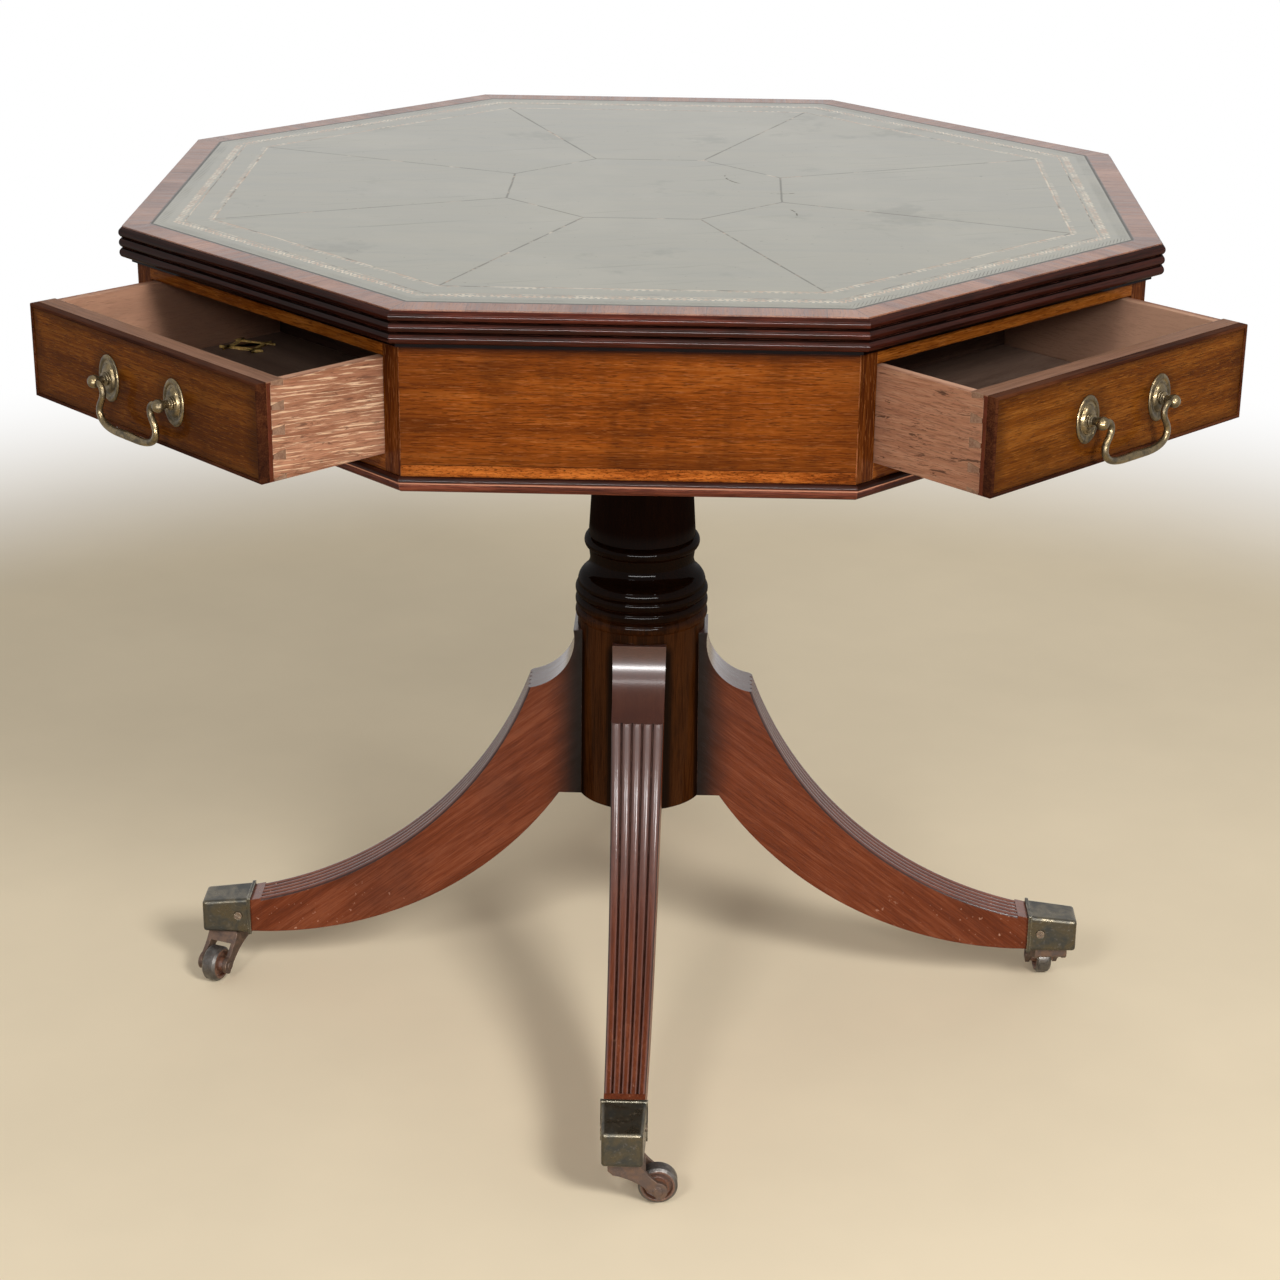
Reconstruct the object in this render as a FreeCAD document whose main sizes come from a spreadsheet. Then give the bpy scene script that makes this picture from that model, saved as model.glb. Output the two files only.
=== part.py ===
import FreeCAD, Part
import Sketcher
import math
import os
from types import SimpleNamespace

from FreeCAD import Placement, Rotation, Vector

# Revolving octagonal rent table on a turned column with four reeded sabre legs.
# Millimetres, +Z up, origin on the floor under the column axis.
# The drawers slide along X and Y, the legs stand on the diagonals between them.
doc = FreeCAD.newDocument("rent_table")
sheet = doc.addObject("Spreadsheet::Sheet", "Dims")

DRIVING_SIZES = [
    ("table_height", 762, "floor to the writing surface"),
    ("top_flat", 834, "top across flats, outer edge of the crossbanding"),
    ("edge_width", 13, "width of the edge moulding"),
    ("top_thick", 28.8, "core board thickness"),
    ("skin", 1.2, "thickness of leather and crossbanding"),
    ("border_width", 21.5, "width of the crossbanding"),
    ("edge_reed_pitch", 8.2, "height of one reed on the edge of the top"),
    ("edge_reed_swell", 3.0, "how far an edge reed stands out"),
    ("bed_step", 6, "fillet under the edge reeds, set back from the edge"),
    ("top_overhang", 10, "top standing out over the frieze"),
    ("frieze_height", 100, "frieze from base board to top"),
    ("frieze_thick", 20, "thickness of panels, posts and rails"),
    ("base_width", 15.5, "width of the base moulding"),
    ("base_thick", 12, "base board and base moulding thickness"),
    ("base_bead", 6, "height of the bead on the base moulding"),
    ("base_bead_swell", 2.2, "how far that bead stands out"),
    ("base_step", 2.5, "step of the base moulding standing out of the frieze"),
    ("base_round", 4, "rounding under the base moulding"),
    ("post_width", 18.085, "post between a corner and a drawer opening"),
    ("upper_rail", 11, "rail above a drawer"),
    ("lower_rail", 13, "rail below a drawer"),
    ("runner_width", 26, "drawer runner under one side"),
    ("guide_width", 7.5, "guide strip beside the drawer"),
    ("guide_height", 20, "guide strip above the runner"),
    ("drawer_gap", 0.5, "room beside a drawer"),
    ("drawer_lift", 0.3, "room under a drawer"),
    ("drawer_drop", 0.7, "room over a drawer"),
    ("corner_room", 17, "room that the backs of two drawers leave each other"),
    ("drawer_open", 112, "how far the two front drawers stand open"),
    ("front_thick", 22, "drawer front"),
    ("front_lap", 10.5, "front wood left before the dovetails"),
    ("side_thick", 9, "drawer side"),
    ("side_drop", 1, "drawer side below the top of the front"),
    ("back_thick", 9, "drawer back"),
    ("bottom_thick", 6, "drawer bottom"),
    ("bottom_rise", 6.2, "drawer bottom above the lower edge of the sides"),
    ("groove_depth", 4, "groove that holds the drawer bottom"),
    ("panel_play", 0.2, "room for the bottom in its grooves"),
    ("pin_narrow", 3.4, "dovetail pin at the lap"),
    ("pin_wide", 8, "dovetail pin at the inner face"),
    ("bead_thick", 3, "cock bead seen from the front"),
    ("bead_depth", 7, "cock bead let into the front"),
    ("bead_proud", 1.4, "cock bead standing out of the front"),
    ("post_spacing", 86, "handle posts centre to centre"),
    ("post_reach", 14, "drawer face to the centre of the handle ball"),
    ("ball_dia", 10.4, "ball of a handle post"),
    ("neck_dia", 6.2, "neck of a handle post"),
    ("post_collar", 2, "collar of a handle post on its rosette"),
    ("shank_dia", 5, "threaded shank of a handle post"),
    ("nut_dia", 12, "handle nut across corners"),
    ("nut_thick", 4, "handle nut"),
    ("rosette_width", 26, "oval rosette"),
    ("rosette_height", 37, "oval rosette"),
    ("rosette_dome", 3.2, "height of the rosette at its middle"),
    ("rosette_roll", 3.2, "width of the rolled rim"),
    ("rosette_sheet", 0.8, "thickness of the rosette's brass"),
    ("bail_pin_dia", 4.4, "ends of the bail in the balls"),
    ("bail_pin_depth", 4, "ends of the bail let into the balls"),
    ("bail_neck_dia", 5, "bail below the posts"),
    ("bail_dia", 7, "bail at its middle"),
    ("bail_drop", 33, "posts to the middle line of the grip"),
    ("bail_turn", 6.5, "bail from the ball to its turn"),
    ("bail_bow", 5.5, "bow of the bail's arms inside the post line"),
    ("hinge_play", 0.05, "radial room of pins that turn"),
    ("column_dia", 115.4, "plain shaft of the column"),
    ("foot_level", 200, "underside of the column above the floor"),
    ("ring_start", 370.5, "lowest turned ring above the floor"),
    ("ring_pitch", 10.7, "height of one turned ring"),
    ("ring_swell", 2.3, "how far a ring stands out"),
    ("shoulder_height", 11, "round shoulder above the rings"),
    ("shoulder_radius", 13, "round shoulder above the rings"),
    ("shoulder_dia", 107, "round shoulder at its top"),
    ("cove_height", 12.5, "hollow above the round shoulder"),
    ("cove_radius", 16, "hollow above the round shoulder"),
    ("neck_width", 93.6, "neck above the hollow"),
    ("astragal_dia", 104.2, "bead above the neck"),
    ("astragal_height", 13, "bead above the neck"),
    ("neck_height", 10, "neck below the bead"),
    ("cone_low_dia", 96.4, "tapered shaft at its foot"),
    ("cone_top_dia", 80, "tapered shaft under the capital"),
    ("capital_dia", 130, "capital under the drum"),
    ("capital_flare", 18, "hollow of the capital"),
    ("capital_plate", 7, "straight edge of the capital"),
    ("pivot_dia", 30, "pin on which the drum turns"),
    ("pivot_root", 72, "pin let into the column"),
    ("pivot_flange_dia", 120, "flange of the pin on the capital"),
    ("bearing_flange_dia", 156, "flange under the base board"),
    ("flange_thick", 4, "both flanges"),
    ("hub_dia", 48, "hub of the bearing flange"),
    ("hub_height", 30, "hub above its flange"),
    ("collar_dia", 46, "collar that keeps the drum on the pin"),
    ("collar_height", 8, "collar on the pin"),
    ("collar_gap", 0.3, "room between collar and hub"),
    ("screw_head", 7.6, "wood screw head"),
    ("screw_head_thick", 1.8, "wood screw head"),
    ("screw_shank", 3.6, "wood screw shank"),
    ("screw_length", 11, "wood screw under the head"),
    ("slot_width", 1, "screwdriver slot"),
    ("shoulder_level", 362, "top of a leg on the column"),
    ("shoulder_step", 3, "top of a leg in front of the column"),
    ("knee_reach", 102.5, "knee from the column axis"),
    ("knee_level", 304.5, "knee above the floor"),
    ("hollow_radius", 49, "hollow between shoulder and knee"),
    ("crotch_reach", 74, "end of a leg's flat underside"),
    ("sweep_curve", 1.0163, "radius of a leg's upper sweep, in lengths of its chord"),
    ("under_curve", 1.0498, "radius of a leg's lower sweep, in lengths of its chord"),
    ("leg_width", 49, "leg at the column"),
    ("reed_swell", 2.6, "how far a reed on a leg stands out"),
    ("reed_stop", 10, "plain end of a leg before the socket"),
    ("tail_depth", 16, "dovetail of a leg in the column"),
    ("tail_narrow", 21, "dovetail at the column's face"),
    ("tail_wide", 28, "dovetail inside the column"),
    ("tail_height", 140, "dovetail from the column's underside"),
    ("toe_reach", 367, "mouth of the socket from the column axis"),
    ("toe_top", 78.6, "leg at the mouth, upper side"),
    ("toe_bottom", 46, "leg at the mouth, underside"),
    ("toe_width", 34.4, "leg at the mouth"),
    ("toe_length", 44.2, "toe inside the socket"),
    ("toe_taper", 4, "toe narrower at its end"),
    ("toe_slope", 4.9, "toe lower at its end"),
    ("socket_wall", 1.8, "wall of the brass socket"),
    ("socket_round", 3, "rounded edges of the socket"),
    ("lip_width", 3, "lip at the mouth of the socket"),
    ("lip_proud", 0.8, "lip standing out of the socket"),
    ("toe_screw_offset", 12, "socket screw from the mouth"),
    ("caster_offset", 23, "caster pivot from the mouth"),
    ("swivel_dia", 8, "caster pivot pin"),
    ("swivel_length", 20, "caster pivot pin above the horn"),
    ("horn_width", 30, "caster horn across its cheeks"),
    ("horn_length", 25, "plate of the horn"),
    ("horn_plate", 4, "thickness of the horn's cheeks"),
    ("horn_block", 10, "thickness of the horn under the socket"),
    ("horn_bend", 3, "outer bend of the horn"),
    ("eye_dia", 16, "horn round the axle"),
    ("horn_sweep", 60, "sweep of the horn's edges"),
    ("trail", 29, "axle behind the pivot"),
    ("wheel_dia", 33, "caster wheel"),
    ("wheel_width", 14, "caster wheel tread"),
    ("wheel_web", 7, "caster wheel between rim and hub"),
    ("wheel_rim", 4, "depth of the rim"),
    ("wheel_bevel", 2, "bevel beside the tread"),
    ("hub_boss", 12, "hub of the wheel"),
    ("cheek_gap", 0.4, "room between hub and cheek"),
    ("axle_dia", 5, "caster axle"),
    ("axle_head", 8, "riveted head of the axle"),
    ("axle_head_thick", 1, "riveted head of the axle"),
]

EDGE_REEDS = 3
LEG_REEDS = 5
COLUMN_RINGS = 3
DOVETAIL_PINS = 3
SIDES = 8
HALF_CORNER = math.pi / SIDES
DRAWERS = {"east": (0, True), "north": (90, False), "west": (180, False), "south": (270, True)}
LEGS = {"northeast": (45, 140), "northwest": (135, 160), "southwest": (225, 294), "southeast": (315, 47)}

for row, (alias, value, note) in enumerate(DRIVING_SIZES, 1):
    sheet.set("A%d" % row, alias)
    sheet.set("B%d" % row, str(value))
    sheet.setAlias("B%d" % row, alias)
    sheet.set("C%d" % row, note)
doc.recompute()


class Size:
    # A length known both as a number and as the sheet expression that drives it.
    def __init__(self, text, value):
        self.text = text
        self.value = value

    def __float__(self):
        return float(self.value)

    def __add__(self, other):
        other = as_size(other)
        return Size("(%s + %s)" % (self.text, other.text), self.value + other.value)

    def __sub__(self, other):
        other = as_size(other)
        return Size("(%s - %s)" % (self.text, other.text), self.value - other.value)

    def __mul__(self, other):
        other = as_size(other)
        return Size("(%s * %s)" % (self.text, other.text), self.value * other.value)

    def __truediv__(self, other):
        other = as_size(other)
        return Size("(%s / %s)" % (self.text, other.text), self.value / other.value)

    def __neg__(self):
        return as_size(0) - self

    def root(self):
        return Size("sqrt(%s)" % self.text, math.sqrt(self.value))


def as_size(number):
    return number if isinstance(number, Size) else Size("%.12g" % number, number)


d = SimpleNamespace(**{alias: Size("Dims." + alias, value) for alias, value, note in DRIVING_SIZES})
nothing = as_size(0)


def settle():
    # Recompute, and stop at the first feature that has no sound shape.
    doc.recompute()
    for feature in doc.Objects:
        if "Invalid" in feature.State or "Error" in feature.State:
            raise RuntimeError("%s: %s" % (feature.Label, feature.State))


def drive(obj, prop, size):
    obj.setExpression(prop, as_size(size).text)


def box(name, x, y, z):
    # Block between two planes along each axis.
    block = doc.addObject("Part::Box", name)
    for prop, axis, (low, high) in zip(("Length", "Width", "Height"), "xyz", (x, y, z)):
        drive(block, prop, as_size(high) - low)
        drive(block, "Placement.Base." + axis, low)
    return block


def cylinder(name, diameter, low, high, direction=Vector(0, 0, 1)):
    # Round bar on an axis through the origin, between two planes across that axis.
    bar = doc.addObject("Part::Cylinder", name)
    drive(bar, "Radius", diameter / 2)
    drive(bar, "Height", as_size(high) - low)
    bar.Placement = Placement(Vector(), Rotation(Vector(0, 0, 1), direction))
    for axis, share in zip("xyz", direction):
        drive(bar, "Placement.Base." + axis, as_size(low) * share)
    return bar


def octagon(name, flat, low, high):
    board = doc.addObject("Part::Prism", name)
    board.Polygon = SIDES
    drive(board, "Circumradius", flat / 2 / math.cos(HALF_CORNER))
    drive(board, "Height", as_size(high) - low)
    board.Placement = Placement(Vector(), Rotation(Vector(0, 0, 1), math.degrees(HALF_CORNER)))
    drive(board, "Placement.Base.z", low)
    return board


def cut(name, base, *tools):
    for tool in tools:
        result = doc.addObject("Part::Cut", name if tool is tools[-1] else name + "_rough")
        result.Base = base
        result.Tool = tool
        base = result
    return base


def fuse(name, *parts):
    result = doc.addObject("Part::MultiFuse", name)
    result.Shapes = list(parts)
    return result


def shaped(name, shape, placement=Placement()):
    feature = doc.addObject("Part::Feature", name)
    feature.Shape = shape
    feature.Placement = placement.multiply(shape.Placement)
    return feature


def turned(angle, shift=Vector()):
    # Turned about the column axis, after a shift.
    turn = Rotation(Vector(0, 0, 1), angle)
    return Placement(turn.multVec(shift), turn)


def copies(name, source, placements):
    # Separate solids in one piece, one copy of the source at each placement.
    settle()
    solids = []
    for placement in placements:
        solid = source.Shape.copy()
        solid.Placement = placement.multiply(solid.Placement)
        solids.append(solid)
    return shaped(name, Part.makeCompound(solids))


def bow_radius(chord, swell):
    return (chord * chord / 4 + swell * swell) / (swell * 2)


def outline(body, role, points, level=nothing):
    # Closed sketch on an origin plane. Each point is (x, y), fixed by the sheet.
    # (x, y, radius) bends the side to the next point, a negative radius bends it the other way.
    sketch = body.newObject("Sketcher::SketchObject", body.Name + "_outline")
    plane = [item for item in body.Origin.OriginFeatures if item.Role == role][0]
    sketch.AttachmentSupport = [(plane, "")]
    sketch.MapMode = "FlatFace"
    drive(sketch, "AttachmentOffset.Base.z", level)
    corners = [Vector(float(point[0]), float(point[1]), 0) for point in points]
    bends = [point[2] if len(point) > 2 else None for point in points]
    starts = []
    ends = []
    for index, bend in enumerate(bends):
        here = corners[index]
        there = corners[(index + 1) % len(corners)]
        if bend is None:
            side = sketch.addGeometry(Part.LineSegment(here, there), False)
            starts.append((side, 1))
            ends.append((side, 2))
            continue
        along = there.sub(here)
        radius = abs(float(bend))
        rise = radius - math.sqrt(max(radius ** 2 - along.Length ** 2 / 4, 0))
        across = Vector(along.y, -along.x, 0).normalize().multiply(math.copysign(rise, float(bend)))
        middle = here.add(there).multiply(0.5).add(across)
        side = sketch.addGeometry(Part.Arc(here, middle, there), False)
        forward = sketch.getPoint(side, 1).isEqual(here, 1e-6)
        starts.append((side, 1 if forward else 2))
        ends.append((side, 2 if forward else 1))
    for index, point in enumerate(points):
        sketch.addConstraint(Sketcher.Constraint("Coincident", *ends[index - 1], *starts[index]))
        for kind, size in (("DistanceX", point[0]), ("DistanceY", point[1])):
            place = sketch.addConstraint(Sketcher.Constraint(kind, -1, 1, *starts[index], float(size)))
            drive(sketch, "Constraints[%d]" % place, size)
        if bends[index] is not None:
            size = bends[index] if float(bends[index]) > 0 else -bends[index]
            place = sketch.addConstraint(Sketcher.Constraint("Radius", starts[index][0], float(size)))
            drive(sketch, "Constraints[%d]" % place, size)
    return sketch


def padded(name, role, points, length, level=nothing, middle=False):
    body = doc.addObject("PartDesign::Body", name)
    sketch = outline(body, role, points, level)
    pad = body.newObject("PartDesign::Pad", name + "_pad")
    pad.Profile = sketch
    drive(pad, "Length", length)
    if middle:
        pad.SideType = "Symmetric"
    return body


def revolved(name, points, axis="V_Axis"):
    body = doc.addObject("PartDesign::Body", name)
    sketch = outline(body, "XZ_Plane", points)
    turning = body.newObject("PartDesign::Revolution", name + "_turning")
    turning.Profile = sketch
    turning.ReferenceAxis = (sketch, [axis])
    turning.Angle = 360
    return body


pieces = []


def piece(label, feature):
    feature.Label = label
    pieces.append(feature)
    return feature


# Levels of the drum, from the writing surface down.
skin_under = d.table_height - d.skin
frieze_top = skin_under - d.top_thick
frieze_foot = frieze_top - d.frieze_height
drum_under = frieze_foot - d.base_thick
column_top = drum_under - d.flange_thick * 2
top_edge = d.top_flat / 2
leather_edge = top_edge - d.border_width
core_edge = top_edge - d.edge_width
frieze_face = top_edge - d.top_overhang
frieze_back = frieze_face - d.frieze_thick
step_face = frieze_face + d.base_step
base_edge = step_face - d.base_width


def wedge():
    # One eighth of the drum, bounded by the mitre planes at two corners.
    reach = float(d.top_flat)
    half = reach * math.tan(HALF_CORNER)
    corners = [Vector(), Vector(reach, -half, 0), Vector(reach, half, 0), Vector()]
    return Part.Face(Part.makePolygon(corners)).extrude(Vector(0, 0, float(d.table_height)))


eighth = shaped("one_eighth", wedge())


def mitred(name, points):
    # Straight strip along the east face, mitred at both of its corners.
    strip = padded(name + "_strip", "XZ_Plane", points, d.top_flat, middle=True)
    ends = doc.addObject("Part::Common", name)
    ends.Base = strip
    ends.Tool = eighth
    return ends


all_faces = [turned(360 / SIDES * step) for step in range(SIDES)]
drawer_faces = all_faces[0::2]
panel_faces = all_faces[1::2]

piece("top_board", octagon("top_board", core_edge * 2, frieze_top, skin_under))
piece("leather_top", octagon("leather_top", leather_edge * 2, skin_under, d.table_height))

band = mitred("crossband", [
    (leather_edge, skin_under),
    (top_edge, skin_under),
    (top_edge, d.table_height),
    (leather_edge, d.table_height),
])
piece("crossbanding", copies("crossbanding", band, all_faces))

# Three reeds one above the other, over a narrow fillet that meets the frieze.
bed_face = top_edge - d.bed_step
reeds_foot = skin_under - d.edge_reed_pitch * EDGE_REEDS
reeded = [(core_edge, skin_under), (core_edge, frieze_top), (bed_face, frieze_top), (bed_face, reeds_foot)]
reed_bow = bow_radius(d.edge_reed_pitch, d.edge_reed_swell)
for step in range(EDGE_REEDS):
    reeded.append((top_edge, reeds_foot + d.edge_reed_pitch * step, reed_bow))
reeded.append((top_edge, skin_under))
piece("edge_moulding", copies("edge_moulding", mitred("edge_strip", reeded), all_faces))

panel = mitred("frieze_panel", [
    (frieze_back, frieze_foot),
    (frieze_face, frieze_foot),
    (frieze_face, frieze_top),
    (frieze_back, frieze_top),
])
piece("frieze_panels", copies("frieze_panels", panel, panel_faces))

# A drawer face keeps only the two ends of such a strip, as posts.
half_opening = frieze_face * math.tan(HALF_CORNER) - d.post_width
rail_span = (-half_opening, half_opening)
opening = box("opening", (frieze_back, frieze_face), rail_span, (frieze_foot, frieze_top))
posts = cut("post_pair", panel, opening)
piece("corner_posts", copies("corner_posts", posts, drawer_faces))

opening_foot = frieze_foot + d.lower_rail
opening_top = frieze_top - d.upper_rail
upper = box("upper_rail", (frieze_back, frieze_face), rail_span, (opening_top, frieze_top))
lower = box("lower_rail", (frieze_back, frieze_face), rail_span, (frieze_foot, opening_foot))
rails = doc.addObject("Part::Compound", "rail_pair")
rails.Links = [upper, lower]
piece("drawer_rails", copies("drawer_rails", rails, drawer_faces))

# Base moulding: a bead above a step that is rounded below.
bead_foot = frieze_foot - d.base_bead
bead_face = step_face - d.base_bead_swell / 2
moulding = mitred("base_strip", [
    (base_edge, drum_under),
    (step_face - d.base_round, drum_under, d.base_round),
    (step_face, drum_under + d.base_round),
    (step_face, bead_foot),
    (bead_face, bead_foot, bow_radius(d.base_bead, d.base_bead_swell)),
    (bead_face, frieze_foot),
    (base_edge, frieze_foot),
])
piece("base_moulding", copies("base_moulding", moulding, all_faces))

# Runners carry the drawer sides, their guides stand beside the drawer, kickers hold it down.
drawer_half = half_opening - d.drawer_gap
runner_out = half_opening + d.guide_width
runner_in = runner_out - d.runner_width
runner = padded("runner", "YZ_Plane", [
    (runner_in, frieze_foot),
    (runner_out, frieze_foot),
    (runner_out, opening_foot + d.guide_height),
    (half_opening, opening_foot + d.guide_height),
    (half_opening, opening_foot),
    (runner_in, opening_foot),
], frieze_back - runner_out, level=runner_out)
kicker = box("kicker", (runner_out, frieze_back), (runner_in, runner_out), (opening_top, frieze_top))


def mirrored(name, source):
    twin = doc.addObject("Part::Mirroring", name)
    twin.Source = source
    twin.Normal = Vector(0, 1, 0)
    return twin


def pair(name, source):
    both = doc.addObject("Part::Compound", name)
    both.Links = [source, mirrored(name + "_twin", source)]
    return both


piece("drawer_runners", copies("drawer_runners", pair("runner_pair", runner), drawer_faces))
piece("drawer_kickers", copies("drawer_kickers", pair("kicker_pair", kicker), drawer_faces))


# Wood screw, head up, with its underside at the origin. The blank also cuts its own seat.
def wood_screw(name):
    head = cylinder(name + "_head", d.screw_head, nothing, d.screw_head_thick)
    shank = cylinder(name + "_shank", d.screw_shank, -d.screw_length, nothing)
    blank = fuse(name + "_blank", head, shank)
    half = d.slot_width / 2
    slot_foot = d.screw_head_thick / 2
    slot = box(name + "_slot", (-half, half), (-d.screw_head, d.screw_head), (slot_foot, d.screw_head_thick))
    return blank, cut(name, blank, slot)


screw_blank, screw = wood_screw("wood_screw")


def quarter_turns(radius, level, flip=False):
    over = Rotation(Vector(1, 0, 0), 180 if flip else 0)
    seat = Placement(Vector(float(radius), 0, float(level)), over)
    return [turned(90 * step + 45).multiply(seat) for step in range(4)]


# Pivot: a flanged pin in the column, a flanged hub in the drum, a collar on the pin.
flange_top = column_top + d.flange_thick
hub_top = drum_under + d.hub_height
collar_foot = hub_top + d.collar_gap
collar_top = collar_foot + d.collar_height
pin_blank = revolved("pivot_blank", [
    (nothing, column_top - d.pivot_root),
    (d.pivot_dia / 2, column_top - d.pivot_root),
    (d.pivot_dia / 2, column_top),
    (d.pivot_flange_dia / 2, column_top),
    (d.pivot_flange_dia / 2, flange_top),
    (d.pivot_dia / 2, flange_top),
    (d.pivot_dia / 2, collar_top),
    (nothing, collar_top),
])
pivot_screw_ring = (d.pivot_flange_dia + d.pivot_dia) / 4
pivot_places = quarter_turns(pivot_screw_ring, flange_top - d.screw_head_thick)
pivot_seats = copies("pivot_screw_seats", screw_blank, pivot_places)
piece("pivot_pin", cut("pivot_pin", pin_blank, pivot_seats))
piece("pivot_screws", copies("pivot_screws", screw, pivot_places))

bore = d.pivot_dia / 2 + d.hinge_play
hub_blank = revolved("bearing_blank", [
    (bore, flange_top),
    (d.bearing_flange_dia / 2, flange_top),
    (d.bearing_flange_dia / 2, drum_under),
    (d.hub_dia / 2, drum_under),
    (d.hub_dia / 2, hub_top),
    (bore, hub_top),
])
bearing_screw_ring = (d.bearing_flange_dia + d.pivot_flange_dia) / 4
bearing_places = quarter_turns(bearing_screw_ring, flange_top + d.screw_head_thick, flip=True)
bearing_seats = copies("bearing_screw_seats", screw_blank, bearing_places)
piece("bearing_flange", cut("bearing_flange", hub_blank, bearing_seats))
piece("bearing_screws", copies("bearing_screws", screw, bearing_places))
piece("pivot_collar", revolved("pivot_collar", [
    (d.pivot_dia / 2, collar_foot),
    (d.collar_dia / 2, collar_foot),
    (d.collar_dia / 2, collar_top),
    (d.pivot_dia / 2, collar_top),
]))
hub_hole = cylinder("hub_hole", d.hub_dia, drum_under, frieze_foot)
base_blank = octagon("base_blank", base_edge * 2, drum_under, frieze_foot)
piece("base_board", cut("base_board", base_blank, hub_hole, bearing_seats))

# Drawer, drawn closed on the east face. x runs outwards, y across the front.
front_back = frieze_face - d.front_thick
tail_end = frieze_face - d.front_lap
drawer_rear = drawer_half + d.corner_room
drawer_foot = opening_foot + d.drawer_lift
drawer_top = opening_top - d.drawer_drop
side_top = drawer_top - d.side_drop
side_inner = drawer_half - d.side_thick
bottom_foot = drawer_foot + d.bottom_rise
bottom_top = bottom_foot + d.bottom_thick
groove_half = side_inner + d.groove_depth
groove_front = front_back + d.groove_depth
groove_levels = (bottom_foot, bottom_top)

# Side board seen from outside: half pins at both edges, whole pins between the tails.
side_outline = [(drawer_rear, drawer_foot), (front_back, drawer_foot)]
pin_pitch = (side_top - drawer_foot) / (DOVETAIL_PINS + 1)
for step in range(DOVETAIL_PINS + 2):
    centre = drawer_foot + pin_pitch * step
    if step > 0:
        side_outline.append((tail_end, centre - d.pin_narrow / 2))
        side_outline.append((front_back, centre - d.pin_wide / 2))
    if step < DOVETAIL_PINS + 1:
        side_outline.append((front_back, centre + d.pin_wide / 2))
        side_outline.append((tail_end, centre + d.pin_narrow / 2))
side_outline.append((front_back, side_top))
side_outline.append((drawer_rear, side_top))
side_blank = padded("side_blank", "XZ_Plane", side_outline, d.side_thick, level=-drawer_half)
side_groove = box("side_groove", (drawer_rear, tail_end), (side_inner, groove_half), groove_levels)
side_pair = pair("drawer_sides", cut("drawer_side", side_blank, side_groove))

panel_half = groove_half - d.panel_play
panel_front = groove_front - d.panel_play
bottom = box("drawer_bottom", (drawer_rear, panel_front), (-panel_half, panel_half), groove_levels)
back_span = (-side_inner, side_inner)
back = box("drawer_back", (drawer_rear, drawer_rear + d.back_thick), back_span, (bottom_top, side_top))

# Front: a rebate round its face takes the cock bead, the sides cut their own sockets.
rebate_back = frieze_face - d.bead_depth
face_half = drawer_half - d.bead_thick
face_levels = (drawer_foot + d.bead_thick, drawer_top - d.bead_thick)
front_span = (-drawer_half, drawer_half)
front_board = box("front_board", (front_back, rebate_back), front_span, (drawer_foot, drawer_top))
front_field = box("front_field", (rebate_back, frieze_face), (-face_half, face_half), face_levels)
front_groove = box("front_groove", (front_back, groove_front), (-groove_half, groove_half), groove_levels)

# Handle post turned about X, with its ball in front of the rosette.
ball = d.ball_dia / 2
ball_at = frieze_face + d.post_reach
post_end = front_back - d.nut_thick
rosette_face = frieze_face + d.rosette_dome
neck = d.neck_dia / 2
neck_end = ball_at - (ball * ball - neck * neck).root()
post_blank = revolved("post_blank", [
    (post_end, nothing),
    (post_end, d.shank_dia / 2),
    (rosette_face, d.shank_dia / 2),
    (rosette_face, ball),
    (rosette_face + d.post_collar, ball),
    (rosette_face + d.post_collar * 1.5, neck),
    (neck_end, neck, -ball),
    (ball_at, ball, -ball),
    (ball_at + ball, nothing),
], axis="H_Axis")
pin_seat = cylinder("bail_pin_seat", d.bail_pin_dia + d.hinge_play * 2, nothing, ball, Vector(0, 1, 0))
drive(pin_seat, "Placement.Base.x", ball_at)
drive(pin_seat, "Placement.Base.y", d.bail_pin_depth - ball)
pin_seat.Placement.Rotation = Rotation(Vector(1, 0, 0), 90)
post = cut("handle_post", post_blank, pin_seat)

# Oval rosette: a turned dish with a rolled rim, stretched upright.
rim = d.rosette_width / 2
sheet_face = frieze_face + d.rosette_sheet
roll_in = rim - d.rosette_roll
roll_bow = d.rosette_roll * 0.6
rosette_blank = revolved("rosette_blank", [
    (frieze_face, d.shank_dia / 2),
    (frieze_face, rim),
    (sheet_face, rim, -roll_bow),
    (sheet_face, roll_in),
    (sheet_face, roll_in - d.rosette_roll / 2, -d.rosette_dome),
    (rosette_face, ball),
    (rosette_face, d.shank_dia / 2),
], axis="H_Axis")
nut = doc.addObject("Part::Prism", "handle_nut")
nut.Polygon = 6
drive(nut, "Circumradius", d.nut_dia / 2)
drive(nut, "Height", d.nut_thick)
nut.Placement = Placement(Vector(), Rotation(Vector(0, 1, 0), 90))
drive(nut, "Placement.Base.x", post_end)
shank_hole = cylinder("shank_hole", d.shank_dia, post_end, rosette_face, Vector(1, 0, 0))
nut_ring = cut("nut_ring", nut, shank_hole)
settle()

stretch = FreeCAD.Matrix()
stretch.scale(Vector(1, 1, float(d.rosette_height / d.rosette_width)))
oval = rosette_blank.Shape.transformGeometry(stretch).cut(shank_hole.Shape)
rosette = shaped("handle_rosette", oval)

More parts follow.
